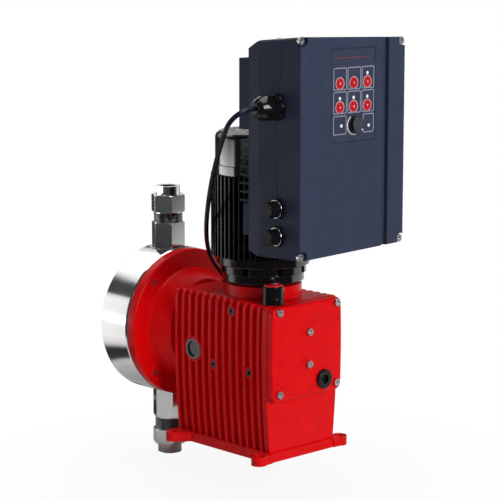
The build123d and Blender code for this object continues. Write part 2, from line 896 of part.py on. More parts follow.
with BuildPart() as eccentric_shaft:
    with BuildSketch(Plane.XZ.offset(-hub_y - shaft_bearing_t)):
        with Locations((drive_x, head_z)):
            Circle(shaft_r)
    extrude(amount=2 * (hub_y + shaft_bearing_t))
    with BuildSketch(Plane.XZ.offset(-hub_y + 0.3)):
        with Locations((drive_x, head_z)):
            Circle(shaft_r + shaft_step)
    extrude(amount=2 * (hub_y - 0.3))
    with BuildSketch(Plane.XZ.offset(-eccentric_t / 2)):
        with Locations((drive_x - throw, head_z)):
            Circle(eccentric_r)
    extrude(amount=eccentric_t)
save(eccentric_shaft.part, "eccentric_shaft")

with BuildPart() as eccentric_bearing:
    add(
        bearing(
            Plane.XZ.offset(-eccentric_t / 2 + 1),
            (drive_x - throw, head_z),
            eccentric_r + 0.01,
            eccentric_bearing_r,
            eccentric_t - 2,
        )
    )
save(eccentric_bearing.part, "eccentric_bearing")

# ------------------------------------------------------------------ push rod
follower_x = drive_x - throw - eccentric_bearing_r - seat_gap
with BuildPart() as push_rod:
    add(
        turned(
            head_axis,
            from_head(
                (rod_front_x, 0),
                (rod_front_x, rod_r - 1),
                (rod_front_x + 1, rod_r),
                (collar_x, rod_r),
                (collar_x, collar_r),
                (collar_x + collar_t, collar_r),
                (collar_x + collar_t, rod_r),
                (follower_x - follower_t, rod_r),
                (follower_x - follower_t, follower_r),
                (follower_x - 0.6, follower_r),
                (follower_x, follower_r - 0.6),
                (follower_x, 0),
            ),
        )
    )
save(push_rod.part, "push_rod")

bush_end_x = body_x0 + spigot_len
with BuildPart() as rod_bush:
    with BuildSketch(Plane.YZ.offset(lantern_back_x)):
        with Locations((0, head_z)):
            Circle(bush_r)
            Circle(rod_r + running_fit, mode=Mode.SUBTRACT)
    extrude(amount=bush_end_x - lantern_back_x)
save(rod_bush.part, "rod_bush")

spring_x0 = bush_end_x + 0.2 + spring_wire / 2
spring_x1 = collar_x - 0.2 - spring_wire / 2
with BuildPart() as return_spring:
    with BuildLine():
        coil = Helix(
            pitch=(spring_x1 - spring_x0) / spring_turns,
            height=spring_x1 - spring_x0,
            radius=spring_r,
            center=(spring_x0, 0, head_z),
            direction=(1, 0, 0),
        )
    with BuildSketch(Plane(origin=coil @ 0, z_dir=coil % 0)):
        Circle(spring_wire / 2)
    sweep(path=coil, is_frenet=True)
save(return_spring.part, "return_spring")

# ------------------------------------------------------------------ diaphragm and pump head
head_x1 = rim_front_x - diaphragm_t
head_x0 = head_x1 - head_t
bolt_places = polar((0, head_z), head_bolt_r, square_angles)

with BuildPart() as diaphragm:
    with BuildSketch(Plane.YZ.offset(head_x1)):
        with Locations((0, head_z)):
            Circle(rim_r - 0.6)
            Circle(core_r + seat_gap, mode=Mode.SUBTRACT)
        with Locations(*bolt_places):
            Circle(head_bolt_d / 2 + screw_gap, mode=Mode.SUBTRACT)
    extrude(amount=diaphragm_t)
save(diaphragm.part, "diaphragm")

core_x1 = rod_front_x - 5.0
with BuildPart() as diaphragm_core:
    add(
        turned(
            head_axis,
            from_head(
                (core_x1 - core_t, 0),
                (core_x1 - core_t, core_r - 3),
                (core_x1 - core_t + 3, core_r),
                (core_x1 - 1, core_r),
                (core_x1, core_r - 1),
                (core_x1, 12.0),
                (rod_front_x, 12.0),
                (rod_front_x, 0),
            ),
        )
    )
save(diaphragm_core.part, "diaphragm_core")

with BuildPart() as pump_head:
    add(
        turned(
            head_axis,
            from_head(
                (head_x1, chamber_r),
                (head_x1, head_r - head_edge),
                (head_x1 - head_edge, head_r),
                (head_x0 + head_edge, head_r),
                (head_x0, head_r - head_edge),
                (head_x0, 0),
                (head_x1 - chamber_t, 0),
                (head_x1 - chamber_t, 28.0),
                (head_x1 - 7.0, 50.0),
            ),
        )
    )
    for way in (1, -1):
        spot_plane = Plane(
            origin=(valve_x, 0, head_z + way * spot_offset), x_dir=(1, 0, 0), z_dir=(0, 0, way)
        )
        with BuildSketch(spot_plane):
            Circle(spot_r)
        extrude(amount=10, mode=Mode.SUBTRACT)
        with BuildSketch(spot_plane):
            Circle(port_r)
        extrude(amount=-valve_neck_depth - (seat_t if way == 1 else 0), mode=Mode.SUBTRACT)
        with BuildSketch(spot_plane):
            Circle(channel_r)
        extrude(amount=-(spot_offset - channel_offset + channel_r), mode=Mode.SUBTRACT)
        with BuildSketch(Plane.YZ.offset(valve_x)):
            with Locations((0, head_z + way * channel_offset)):
                Circle(channel_r)
        extrude(amount=head_x1 - 4.0 - valve_x, mode=Mode.SUBTRACT)
    with BuildSketch(Plane.YZ.offset(head_x0)):
        with Locations(*bolt_places):
            Circle(head_bolt_d / 2 + screw_gap)
    extrude(amount=head_t, mode=Mode.SUBTRACT)
    with BuildSketch(Plane.YZ.offset(head_x0)):
        with Locations(*bolt_places):
            Circle(head_bolt_head_d / 2 + 0.6)
    extrude(amount=head_bolt_head_h + 1, mode=Mode.SUBTRACT)
save(pump_head.part, "pump_head")

bolt_seat_x = head_x0 + head_bolt_head_h + 1
with BuildPart() as head_screws:
    add(
        cap_screws(
            -Plane.YZ.offset(bolt_seat_x),
            [(y, -z) for y, z in bolt_places],
            head_bolt_d,
            rim_back_x - bolt_seat_x - 0.5,
            head_bolt_head_d,
            head_bolt_head_h,
            6.0,
        )
    )
save(head_screws.part, "head_screws")

# ------------------------------------------------------------------ ball valves
def valve_body(name, hex_span, neck_end, thread_end, bore_steps):
    """Hexagonal body with a neck in the head and a thread for the union nut.

    bore_steps lists (z, radius) pairs of the inner profile from one end to the other.
    """
    z_a, z_b = hex_span
    with BuildPart() as body:
        with BuildSketch(Plane.XY.offset(z_a)):
            with Locations((valve_x, 0)):
                RegularPolygon(valve_hex / 2, 6, major_radius=False, rotation=30)
        extrude(amount=z_b - z_a)
        corner_r = valve_hex / sqrt(3)
        bevel = turned(
            valve_axis,
            [
                (valve_x, z_a),
                (valve_x + corner_r - 1.6, z_a),
                (valve_x + corner_r, z_a + 1.0),
                (valve_x + corner_r, z_b - 1.0),
                (valve_x + corner_r - 1.6, z_b),
                (valve_x, z_b),
            ],
        )
        add(bevel, mode=Mode.INTERSECT)
        for start, end, radius in (
            (z_a, neck_end, valve_neck_r) if neck_end < z_a else (z_b, neck_end, valve_neck_r),
            (z_b, thread_end, valve_thread_r) if thread_end > z_b else (z_a, thread_end, valve_thread_r),
        ):
            with BuildSketch(Plane.XY.offset(min(start, end))):
                with Locations((valve_x, 0)):
                    Circle(radius)
            extrude(amount=abs(end - start))
        for (z0, radius), (z1, _) in zip(bore_steps[:-1], bore_steps[1:]):
            with BuildSketch(Plane.XY.offset(z0)):
                with Locations((valve_x, 0)):
                    Circle(radius)
            extrude(amount=z1 - z0, mode=Mode.SUBTRACT)
    save(body.part, name)


def valve_ring(name, outer_r, inner_r, z0, thickness):
    """Plain ring about the valve axis."""
    with BuildPart() as ring:
        with BuildSketch(Plane.XY.offset(z0)):
            with Locations((valve_x, 0)):
                Circle(outer_r)
                Circle(inner_r, mode=Mode.SUBTRACT)
        extrude(amount=thickness)
    save(ring.part, name)


def valve_ball(name, seat_top):
    """Ball that stands just clear of its seat edge."""
    with BuildPart() as ball:
        with Locations((valve_x, 0, seat_top + sqrt(ball_r**2 - seat_bore_r**2) + 0.05)):
            Sphere(ball_r)
    save(ball.part, name)


def union_nut(name, z0, z1, thread_stop, way):
    """Hexagonal union nut from z0 to z1, its thread side facing the valve body."""
    with BuildPart() as nut:
        with BuildSketch(Plane.XY.offset(z0)):
            with Locations((valve_x, 0)):
                RegularPolygon(nut_hex / 2, 6, major_radius=False, rotation=30)
        extrude(amount=z1 - z0)
        corner_r = nut_hex / sqrt(3)
        bevel = turned(
            valve_axis,
            [
                (valve_x, z0),
                (valve_x + corner_r - 1.6, z0),
                (valve_x + corner_r, z0 + 1.0),
                (valve_x + corner_r, z1 - 1.0),
                (valve_x + corner_r - 1.6, z1),
                (valve_x, z1),
            ],
        )
        add(bevel, mode=Mode.INTERSECT)
        with BuildSketch(Plane.XY.offset(z0)):
            with Locations((valve_x, 0)):
                Circle(tail_r + 0.1)
        extrude(amount=z1 - z0, mode=Mode.SUBTRACT)
        start = z0 if way > 0 else z1
        with BuildSketch(Plane.XY.offset(start)):
            with Locations((valve_x, 0)):
                Circle(valve_thread_r + 0.05)
        extrude(amount=thread_stop - start, mode=Mode.SUBTRACT)
    save(nut.part, name)


def tail_piece(name, collar_z, end_z):
    """Collared connection piece with spanner flats, from the collar to its free end."""
    way = 1 if end_z > collar_z else -1
    with BuildPart() as tail:
        with BuildSketch(Plane.XY.offset(collar_z)):
            with Locations((valve_x, 0)):
                Circle(valve_thread_r - 0.1)
        extrude(amount=way * tail_collar_t)
        with BuildSketch(Plane.XY.offset(collar_z)):
            with Locations((valve_x, 0)):
                Circle(tail_r)
        extrude(amount=end_z - collar_z)
        with BuildSketch(Plane.XY.offset(end_z)):
            with Locations((valve_x, 0)):
                Circle(tail_r + 2)
                Rectangle(4 * tail_r, tail_flat, mode=Mode.SUBTRACT)
        extrude(amount=-way * tail_flat_len, mode=Mode.SUBTRACT)
        with BuildSketch(Plane.XY.offset(end_z)):
            with Locations((valve_x, 0)):
                Circle(tail_bore_r)
        extrude(amount=collar_z - end_z, mode=Mode.SUBTRACT)
    save(tail.part, name)


# discharge valve, flow upwards out of the head
top_spot_z = head_z + spot_offset
discharge_neck_z = top_spot_z - valve_neck_depth
discharge_hex_top = 248.5
discharge_thread_top = 268.0
discharge_nut = (261.0, 282.0)
discharge_end = 292.7
discharge_chamber_top = discharge_neck_z + 2 * ball_r + ball_lift + 0.5
valve_body(
    "discharge_valve_body",
    (top_spot_z, discharge_hex_top),
    discharge_neck_z,
    discharge_thread_top,
    [
        (discharge_neck_z, cage_r),
        (discharge_chamber_top, valve_passage_r),
        (discharge_thread_top, 0),
    ],
)
valve_ring("discharge_seat", port_r - 0.2, seat_bore_r, discharge_neck_z - seat_t, seat_t)
valve_ball("discharge_ball", discharge_neck_z)
union_nut(
    "discharge_union_nut",
    *discharge_nut,
    discharge_thread_top + collar_seal_gap + tail_collar_t + 0.1,
    1,
)
tail_piece("discharge_tail", discharge_thread_top + collar_seal_gap, discharge_end)

# suction valve, flow upwards into the head
low_spot_z = head_z - spot_offset
suction_neck_z = low_spot_z + valve_neck_depth
suction_hex_low = 4.0
suction_thread_low = -20.0
suction_nut = (-30.0, -12.0)
suction_end = -42.0
suction_seat_top = 8.0
suction_chamber_top = suction_seat_top + 2 * ball_r + ball_lift + 0.5
valve_body(
    "suction_valve_body",
    (suction_hex_low, low_spot_z),
    suction_neck_z,
    suction_thread_low,
    [
        (suction_thread_low, port_r),
        (suction_seat_top, cage_r),
        (suction_chamber_top, valve_passage_r),
        (suction_neck_z, 0),
    ],
)
valve_ring("suction_seat", port_r - 0.2, seat_bore_r, suction_seat_top - seat_t, seat_t)
valve_ball("suction_ball", suction_seat_top)
union_nut(
    "suction_union_nut",
    *suction_nut,
    suction_thread_low - collar_seal_gap - tail_collar_t - 0.1,
    -1,
)
tail_piece("suction_tail", suction_thread_low - collar_seal_gap, suction_end)

# ------------------------------------------------------------------ motor
def from_motor(*points):
    """(radius, z) points as a profile beside the motor axis."""
    return [(motor_x + r, z) for r, z in points]


def round_cut(radius, z0, z1):
    """Cylinder about the motor axis."""
    with BuildPart() as cut:
        with BuildSketch(Plane.XY.offset(z0)):
            with Locations((motor_x, 0)):
                Circle(radius)
        extrude(amount=z1 - z0)
    return cut.part


lip_r = 16.0
cup_r = (46.0, 48.0)
cup_floor_z = shield_z[0] + 2.0
bearing_boss_r = 24.0
plate_under_z = lower_bearing_z - 8.0
with BuildPart() as motor_flange:
    add(
        turned(
            motor_axis,
            from_motor(
                (motor_spigot_bore, motor_ring_z[0] - motor_spigot_len),
                (motor_spigot_r, motor_ring_z[0] - motor_spigot_len),
                (motor_spigot_r, motor_ring_z[0]),
                (motor_ring_r - motor_ring_chamfer, motor_ring_z[0]),
                (motor_ring_r, motor_ring_z[0] + motor_ring_chamfer),
                (motor_ring_r, motor_ring_z[1]),
                (waist_r, motor_ring_z[1]),
                (waist_r, shield_z[0]),
                (shield_r - 1, shield_z[0]),
                (shield_r, shield_z[0] + 1),
                (shield_r, shield_z[1]),
                (cup_r[1], shield_z[1]),
                (cup_r[0], cup_floor_z),
                (bearing_boss_r, cup_floor_z),
                (bearing_boss_r, lower_bearing_z + motor_bearing_t[0]),
                (motor_bearing_r[0], lower_bearing_z + motor_bearing_t[0]),
                (motor_bearing_r[0], lower_bearing_z),
                (lip_r, lower_bearing_z),
                (lip_r, plate_under_z),
                (motor_spigot_bore, plate_under_z),
            ),
        )
    )
    with BuildSketch(Plane.XY.offset(motor_ring_z[0])):
        with Locations(*polar((motor_x, 0), motor_bolt_circle, bolt_angles)):
            Circle(motor_bolt_d / 2 + screw_gap)
    extrude(amount=motor_ring_z[1] - motor_ring_z[0], mode=Mode.SUBTRACT)
    with BuildSketch(Plane.XY.offset(motor_ring_z[1])):
        with Locations((motor_x, 0)):
            with PolarLocations(motor_bolt_circle + 4, motor_bolt_count, start_angle=bolt_angles[0]):
                SlotCenterToCenter(8, motor_bolt_head_d + 1.4)
    extrude(amount=shield_z[0] - motor_ring_z[1], mode=Mode.SUBTRACT)
save(motor_flange.part, "motor_flange")

with BuildPart() as motor_screws:
    add(
        cap_screws(
            Plane.XY.offset(motor_ring_z[1]),
            polar((motor_x, 0), motor_bolt_circle, bolt_angles),
            motor_bolt_d,
            motor_ring_z[1] - motor_ring_z[0] + motor_bolt_grip,
            motor_bolt_head_d,
            motor_bolt_head_h,
            3.0,
        )
    )
save(motor_screws.part, "motor_screws")

with BuildPart() as motor_body:
    with BuildSketch(Plane.XY.offset(stator_z[0])):
        with Locations((motor_x, 0)):
            Circle(fin_root_r)
            with PolarLocations((fin_root_r + fin_r) / 2 - 0.5, fin_count):
                Rectangle(fin_r - fin_root_r + 1, fin_t)
            Circle(stator_r, mode=Mode.SUBTRACT)
    extrude(amount=stator_z[1] - stator_z[0])
save(motor_body.part, "motor_body")

winding_r = (32.0, 45.0)
winding_z = (234.0, 321.0)
with BuildPart() as stator:
    with BuildSketch(Plane.XY.offset(core_z[0])):
        with Locations((motor_x, 0)):
            Circle(stator_r - 0.02)
            Circle(stator_bore_r, mode=Mode.SUBTRACT)
    extrude(amount=core_z[1] - core_z[0])
    add(
        turned(
            motor_axis,
            *[
                from_motor(
                    (winding_r[0], z),
                    (winding_r[1], z),
                    (winding_r[1], z + 1.5 * (z_end - z) / abs(z_end - z)),
                    (winding_r[1], z_end),
                    (winding_r[0], z_end),
                )
                for z, z_end in zip(winding_z, core_z)
            ],
        )
    )
save(stator.part, "stator")

shaft_top_z = 346.0
with BuildPart() as rotor:
    add(
        turned(
            motor_axis,
            from_motor(
                (0, spur_z),
                (pinion_r - mesh_gap / 2, spur_z),
                (pinion_r - mesh_gap / 2, spur_z + spur_t),
                (rotor_shaft_r, spur_z + spur_t),
                (rotor_shaft_r, lower_bearing_z - 0.2),
                (motor_shaft_r, lower_bearing_z - 0.2),
                (motor_shaft_r, lower_bearing_z + motor_bearing_t[0] + 0.2),
                (rotor_shaft_r, lower_bearing_z + motor_bearing_t[0] + 0.2),
                (rotor_shaft_r, core_z[0]),
                (stator_bore_r - air_gap, core_z[0]),
                (stator_bore_r - air_gap, core_z[1]),
                (rotor_shaft_r, core_z[1]),
                (rotor_shaft_r, upper_bearing_z - 0.2),
                (motor_shaft_r, upper_bearing_z - 0.2),
                (motor_shaft_r, shaft_top_z),
                (0, shaft_top_z),
            ),
        )
    )
    with BuildSketch(Plane.XY.offset(spur_z)):
        with Locations((motor_x, 0)):
            add(tooth_spaces(pinion_teeth, pinion_r - mesh_gap / 2, spur_tooth_depth))
    extrude(amount=spur_t, mode=Mode.SUBTRACT)
save(rotor.part, "rotor")

shield_top_z = 331.0
with BuildPart() as motor_end_shield:
    add(
        turned(
            motor_axis,
            from_motor(
                (12.0, shield_top_z),
                (fin_root_r + 0.5, shield_top_z),
                (fin_root_r + 0.5, stator_z[1]),
                (20.0, stator_z[1]),
                (20.0, upper_bearing_z),
                (motor_bearing_r[1], upper_bearing_z),
                (motor_bearing_r[1], upper_bearing_z + motor_bearing_t[1]),
                (12.0, upper_bearing_z + motor_bearing_t[1]),
            ),
        )
    )
save(motor_end_shield.part, "motor_end_shield")

fan_z = shield_top_z + 3.0
blade_top_z = 354.0
with BuildPart() as fan:
    with BuildSketch(Plane.XY.offset(fan_z)):
        with Locations((motor_x, 0)):
            Circle(11.0)
            Circle(motor_shaft_r + 0.01, mode=Mode.SUBTRACT)
    extrude(amount=shaft_top_z - fan_z)
    with BuildSketch(Plane.XY.offset(fan_z)):
        with Locations((motor_x, 0)):
            Circle(fan_r)
            Circle(10.0, mode=Mode.SUBTRACT)
    extrude(amount=2.0)
    with BuildSketch(Plane.XY.offset(fan_z)):
        with Locations((motor_x, 0)):
            with PolarLocations((fan_r + fan_hub_r) / 2, fan_blades):
                Rectangle(fan_r - fan_hub_r, fan_blade_t)
    extrude(amount=blade_top_z - fan_z)
save(fan.part, "fan")

skirt_top_z = 336.0
grille_rings = ((13.0, 8, 8.0), (25.0, 16, 8.0), (37.5, 24, 9.0))
with BuildPart() as fan_cover:
    add(
        turned(
            motor_axis,
            from_motor(
                (0, fan_cover_top - fan_cover_t),
                (0, fan_cover_top),
                (fan_cover_r, fan_cover_top),
                (fan_cover_r, skirt_top_z),
                (fan_cover_r + 1, skirt_top_z),
                (fan_cover_r + 1, stator_z[1]),
                (fan_cover_r - fan_cover_t, stator_z[1]),
                (fan_cover_r - fan_cover_t, fan_cover_top - fan_cover_t),
            ),
        )
    )
    rim_edges = fan_cover.edges().filter_by(GeomType.CIRCLE)
    rim_edges = rim_edges.filter_by_position(Axis.Z, fan_cover_top - 0.1, fan_cover_top + 0.1)
    fillet(rim_edges, radius=fan_cover_edge_r)
    inner_edges = fan_cover.edges().filter_by(GeomType.CIRCLE).filter_by_position(
        Axis.Z, fan_cover_top - fan_cover_t - 0.1, fan_cover_top - fan_cover_t + 0.1
    )
    fillet(inner_edges, radius=fan_cover_edge_r - fan_cover_t)
    with BuildSketch(Plane.XY.offset(fan_cover_top)):
        with Locations((motor_x, 0)):
            for ring_r, count, slot_len in grille_rings:
                with PolarLocations(ring_r, count):
                    SlotOverall(slot_len, 3.2)
    extrude(amount=-fan_cover_t, mode=Mode.SUBTRACT)
save(fan_cover.part, "fan_cover")

# ------------------------------------------------------------------ inverter enclosure
front_y = -box_half_width


def box_block(inset, front_x):
    """Tapered box of the inverter, shrunk by the inset on every side but the front."""
    with BuildPart() as block:
        for y, drop, rise in ((front_y + inset, 0, 0), (-front_y - inset, top_drop, low_rise)):
            with BuildSketch(Plane.XZ.offset(-y)):
                outline(
                    (rear_x + inset, rear_low_z + inset + rise),
                    (side_edge_x, edge_low_z + inset + rise),
                    (front_x, box_low_z + inset + rise),
                    (front_x, box_high_z - inset - drop),
                    (side_edge_x, edge_high_z - inset - drop),
                    (rear_x + inset, rear_high_z - inset - drop),
                )
        loft(ruled=True)
        with BuildSketch(Plane.XY.offset(edge_low_z - 5)):
            outline(
                (rear_x, -rear_half_width + inset),
                (side_edge_x, front_y + inset),
                (front_x, front_y + inset),
                (front_x, -front_y - inset),
                (side_edge_x, -front_y - inset),
                (rear_x, rear_half_width - inset),
            )
        extrude(amount=box_high_z - edge_low_z + 10, mode=Mode.INTERSECT)
    return block.part


def side_slab(points, y0, y1):
    """Slab between y0 and y1 with an (x, z) outline."""
    with BuildPart() as slab:
        with BuildSketch(Plane.XZ.offset(-y0)):
            outline(*points)
        extrude(amount=y0 - y1)
    return slab.part


def side_discs(places, radius, y0, y1):
    """Discs between y0 and y1, centred on (x, z) places."""
    with BuildPart() as discs:
        with BuildSketch(Plane.XZ.offset(-y0)):
            with Locations(*places):
                Circle(radius)
        extrude(amount=y0 - y1)
    return discs.part


with BuildPart() as box_outside:
    add(box_block(0, box_front_x))
    long_edges = box_outside.edges().filter_by_position(
        Axis.X, side_edge_x + 10, box_front_x - 10
    )
    fillet(long_edges, radius=4.0)
    fillet(box_outside.faces().sort_by(Axis.X)[-1].outer_wire().edges(), radius=2.0)

with BuildPart() as box_inside:
    add(box_block(box_wall, inner_front_x))
    with BuildSketch(Plane.YZ.offset(back_block_x + box_wall)):
        with Locations((0, (back_block_z[0] + back_block_z[1]) / 2)):
            Rectangle(
                2 * (back_half_width - box_wall), back_block_z[1] - back_block_z[0] - 2 * box_wall
            )
    extrude(amount=rear_x + box_wall - back_block_x)
    add(round_cut(motor_clear_r + box_wall, edge_low_z - 5, back_block_z[0] + box_wall), mode=Mode.SUBTRACT)

cover_side = [(x + seam_gap / 2, z) for x, z in seam]
base_side = [(x - seam_gap / 2, z) for x, z in seam]
far_z = (edge_low_z - 10, box_high_z + 10)
cover_region = [(cover_side[0][0], far_z[1]), *cover_side, (cover_side[-1][0], far_z[0])]
cover_region += [(box_front_x + 10, far_z[0]), (box_front_x + 10, far_z[1])]
base_region = [(base_side[0][0], far_z[1]), *base_side, (base_side[-1][0], far_z[0])]
base_region += [(rear_x - 40, far_z[0]), (rear_x - 40, far_z[1])]
tongues = (([gland_place], gland_tongue_r), (plug_places, plug_tongue_r))
tongue_y = front_y + box_wall

screw_seat_x = box_front_x - notch_depth
with BuildPart() as inverter_cover:
    add(box_outside.part)
    add(side_slab(cover_region, front_y - 5, -front_y + 5), mode=Mode.INTERSECT)
    add(box_inside.part, mode=Mode.SUBTRACT)
    for places, radius in tongues:
        add(side_discs(places, radius + seam_gap, front_y - 1, tongue_y + 1), mode=Mode.SUBTRACT)
    with BuildSketch(Plane.YZ.offset(field_x)):
        with Locations(((left_band_y + groove_y[1]) / 2, (box_low_z + box_high_z) / 2)):
            Rectangle(groove_y[1] - left_band_y, box_high_z - box_low_z + 20)
    extrude(amount=5, mode=Mode.SUBTRACT)
    with BuildSketch(Plane.YZ.offset(field_x - groove_depth)):
        with Locations(((groove_y[0] + groove_y[1]) / 2, (box_low_z + box_high_z) / 2)):
            Rectangle(groove_y[1] - groove_y[0], box_high_z - box_low_z + 20)
    extrude(amount=groove_depth + 1, mode=Mode.SUBTRACT)
    with BuildSketch(Plane.YZ.offset(field_x - panel_depth)):
        with Locations((0, (panel_z[0] + panel_z[1]) / 2)):
            Rectangle(2 * panel_half_width + 0.2, panel_z[1] - panel_z[0] + 0.2)
    extrude(amount=panel_depth + 1, mode=Mode.SUBTRACT)
    with BuildSketch(Plane.YZ.offset(key_pocket_x)):
        with Locations(*[(y, z) for z in key_z for y in key_y]):
            Circle(key_r + key_gap)
        with Locations((knob_y, knob_z)):
            Circle(knob_spindle_r + 0.08)
    extrude(amount=field_x - key_pocket_x, mode=Mode.SUBTRACT)
    with BuildSketch(Plane.YZ.offset(screw_seat_x)):
        with Locations(*corner_screws):
            Circle(notch_r)
    extrude(amount=notch_depth + 1, mode=Mode.SUBTRACT)
    with BuildSketch(Plane.YZ.offset(screw_seat_x)):
        with Locations(*corner_screws):
            Circle(2.0 + screw_gap)
    extrude(amount=-40, mode=Mode.SUBTRACT)
save(inverter_cover.part, "inverter_cover")

base_screw_depth = 12.0
corner_screw_len = screw_seat_x - seam[0][0] + base_screw_depth
with BuildPart() as inverter_base:
    add(box_outside.part)
    with BuildSketch(Plane.YZ.offset(back_block_x)):
        with Locations((0, (back_block_z[0] + back_block_z[1]) / 2)):
            Rectangle(2 * back_half_width, back_block_z[1] - back_block_z[0])
    extrude(amount=rear_x + 3 - back_block_x)
    add(side_slab(base_region, front_y - 5, -front_y + 5), mode=Mode.INTERSECT)
    for k in range(sink_fin_count):
        with BuildSketch(Plane.XY.offset(sink_fin_z + k * sink_fin_pitch)):
            with Locations(((sink_fin_x + rear_x + 3) / 2, 0)):
                Rectangle(rear_x + 3 - sink_fin_x, 2 * back_half_width)
        extrude(amount=sink_fin_t)
    add(box_inside.part, mode=Mode.SUBTRACT)
    for places, radius in tongues:
        add(side_discs(places, radius, front_y, tongue_y))
    add(side_discs([gland_place], gland_hole_r, front_y - 1, tongue_y + 1), mode=Mode.SUBTRACT)
    add(side_discs(plug_places, plug_hole_r, front_y - 1, tongue_y + 1), mode=Mode.SUBTRACT)
    add(round_cut(motor_clear_r, edge_low_z - 5, back_block_z[0] - 3), mode=Mode.SUBTRACT)
    with BuildSketch(Plane.YZ.offset(screw_seat_x)):
        with Locations(*corner_screws):
            Circle(2.0 + screw_gap)
    extrude(amount=-corner_screw_len - 1, mode=Mode.SUBTRACT)
save(inverter_base.part, "inverter_base")

with BuildPart() as inverter_screws:
    add(
        cap_screws(
            Plane.YZ.offset(screw_seat_x),
            corner_screws,
            4.0,
            corner_screw_len,
            9.0,
            3.4,
            4.0,
        )
    )
save(inverter_screws.part, "inverter_screws")

with BuildPart() as inverter_saddle:
    with BuildSketch(Plane.XY.offset(saddle_z[0])):
        with Locations(((saddle_x + rear_x - 0.02) / 2, 0)):
            Rectangle(rear_x - 0.02 - saddle_x, 2 * saddle_half_width)
    extrude(amount=saddle_z[1] - saddle_z[0])
    add(round_cut(motor_clear_r - 0.02, *saddle_z))
    with BuildSketch(Plane.XY.offset(saddle_z[0])):
        with Locations((motor_x + motor_clear_r / 2 + 15, 0)):
            Rectangle(motor_clear_r - 30 + 4, 2 * saddle_half_width)
    extrude(amount=saddle_z[1] - saddle_z[0], mode=Mode.INTERSECT)
    add(round_cut(fin_r + 0.02, *saddle_z), mode=Mode.SUBTRACT)
    with BuildSketch(Plane.XY.offset(saddle_z[0])):
        with Locations((saddle_x + through / 2, 0)):
            Rectangle(through, 2 * saddle_half_width)
    extrude(amount=saddle_z[1] - saddle_z[0], mode=Mode.INTERSECT)
save(inverter_saddle.part, "inverter_saddle")

# keypad
panel_x = field_x - panel_depth
with BuildPart() as keypad_panel:
    with BuildSketch(Plane.YZ.offset(panel_x)):
        with Locations((0, (panel_z[0] + panel_z[1]) / 2)):
            RectangleRounded(2 * panel_half_width, panel_z[1] - panel_z[0], 2.0)
        with Locations(*[(y, z) for z in key_z for y in key_y]):
            Circle(key_r + key_gap, mode=Mode.SUBTRACT)
        with Locations((knob_y, knob_z)):
            Circle(knob_spindle_r + 0.08, mode=Mode.SUBTRACT)
    extrude(amount=panel_t)
save(keypad_panel.part, "keypad_panel")

key_places = [(y, z) for z in key_z for y in key_y]
for number, place in enumerate(key_places, start=1):
    with BuildPart() as key:
        with BuildSketch(Plane.YZ.offset(key_x[0])):
            with Locations(place):
                Circle(key_r)
        extrude(amount=key_x[1] - key_x[0])
        fillet(key.edges().group_by(Axis.X)[-1], radius=0.5)
    save(key.part, f"key_{number}")

with BuildPart() as speed_knob:
    with BuildSketch(Plane.YZ.offset(knob_x[0])):
        with Locations((knob_y, knob_z)):
            Circle(knob_r)
    extrude(amount=knob_x[1] - knob_x[0])
    chamfer(speed_knob.edges().group_by(Axis.X)[-1], length=0.7)
    with BuildSketch(Plane.YZ.offset(knob_x[1])):
        with Locations((knob_y + 0.55 * knob_r, knob_z - 0.55 * knob_r)):
            Circle(1.2)
    extrude(amount=-0.8, mode=Mode.SUBTRACT)
    with BuildSketch(Plane.YZ.offset(key_pocket_x + 0.3)):
        with Locations((knob_y, knob_z)):
            Circle(knob_spindle_r)
    extrude(amount=knob_x[0] - key_pocket_x - 0.3)
save(speed_knob.part, "speed_knob")

# ------------------------------------------------------------------ cable gland and plugs
gland_end_y = cable_route[0][1]
gland_axis = Axis((gland_place[0], 0, gland_place[1]), (0, 1, 0))


def beside_gland(*points):
    """(radius, y) points as a profile beside the gland axis, on the XY plane at its height."""
    return [(gland_place[0] + r, y) for r, y in points]


gland_plane = Plane(origin=(0, 0, gland_place[1]), x_dir=(1, 0, 0), z_dir=(0, 0, 1))
nut_start_y = front_y - 13.0
with BuildPart() as gland_body:
    add(
        turned(
            gland_axis,
            beside_gland(
                (4.0, tongue_y + 6),
                (gland_hole_r - 0.1, tongue_y + 6),
                (gland_hole_r - 0.1, front_y),
                (14.5, front_y),
                (14.5, front_y - 4.2),
                (14.0, front_y - 5),
                (10.0, front_y - 5),
                (10.0, nut_start_y),
                (8.0, nut_start_y),
                (8.0, gland_end_y + 6),
                (4.0, gland_end_y + 6),
            ),
            plane=gland_plane,
        )
    )
    with BuildSketch(Plane.XZ.offset(-front_y + 5)):
        with Locations(gland_place):
            RegularPolygon(13.5, 6, major_radius=False)
            Circle(6.0, mode=Mode.SUBTRACT)
    extrude(amount=7.5)
save(gland_body.part, "gland_body")

with BuildPart() as gland_nut:
    with BuildSketch(Plane.XZ.offset(-nut_start_y)):
        with Locations(gland_place):
            RegularPolygon(13.2, 6, major_radius=False)
    extrude(amount=nut_start_y - gland_end_y)
    add(
        turned(
            gland_axis,
            beside_gland(
                (0, nut_start_y),
                (14.2, nut_start_y),
                (15.0, nut_start_y - 1),
                (15.0, nut_start_y - 8),
                (13.2, nut_start_y - 12),
                (10.8, nut_start_y - 17),
                (7.6, gland_end_y + 0.6),
                (6.6, gland_end_y),
                (0, gland_end_y),
            ),
            plane=gland_plane,
        ),
        mode=Mode.INTERSECT,
    )
    with BuildSketch(Plane.XZ.offset(-nut_start_y)):
        with Locations(gland_place):
            Circle(8.05)
    extrude(amount=nut_start_y - gland_end_y - 5, mode=Mode.SUBTRACT)
save(gland_nut.part, "gland_nut")

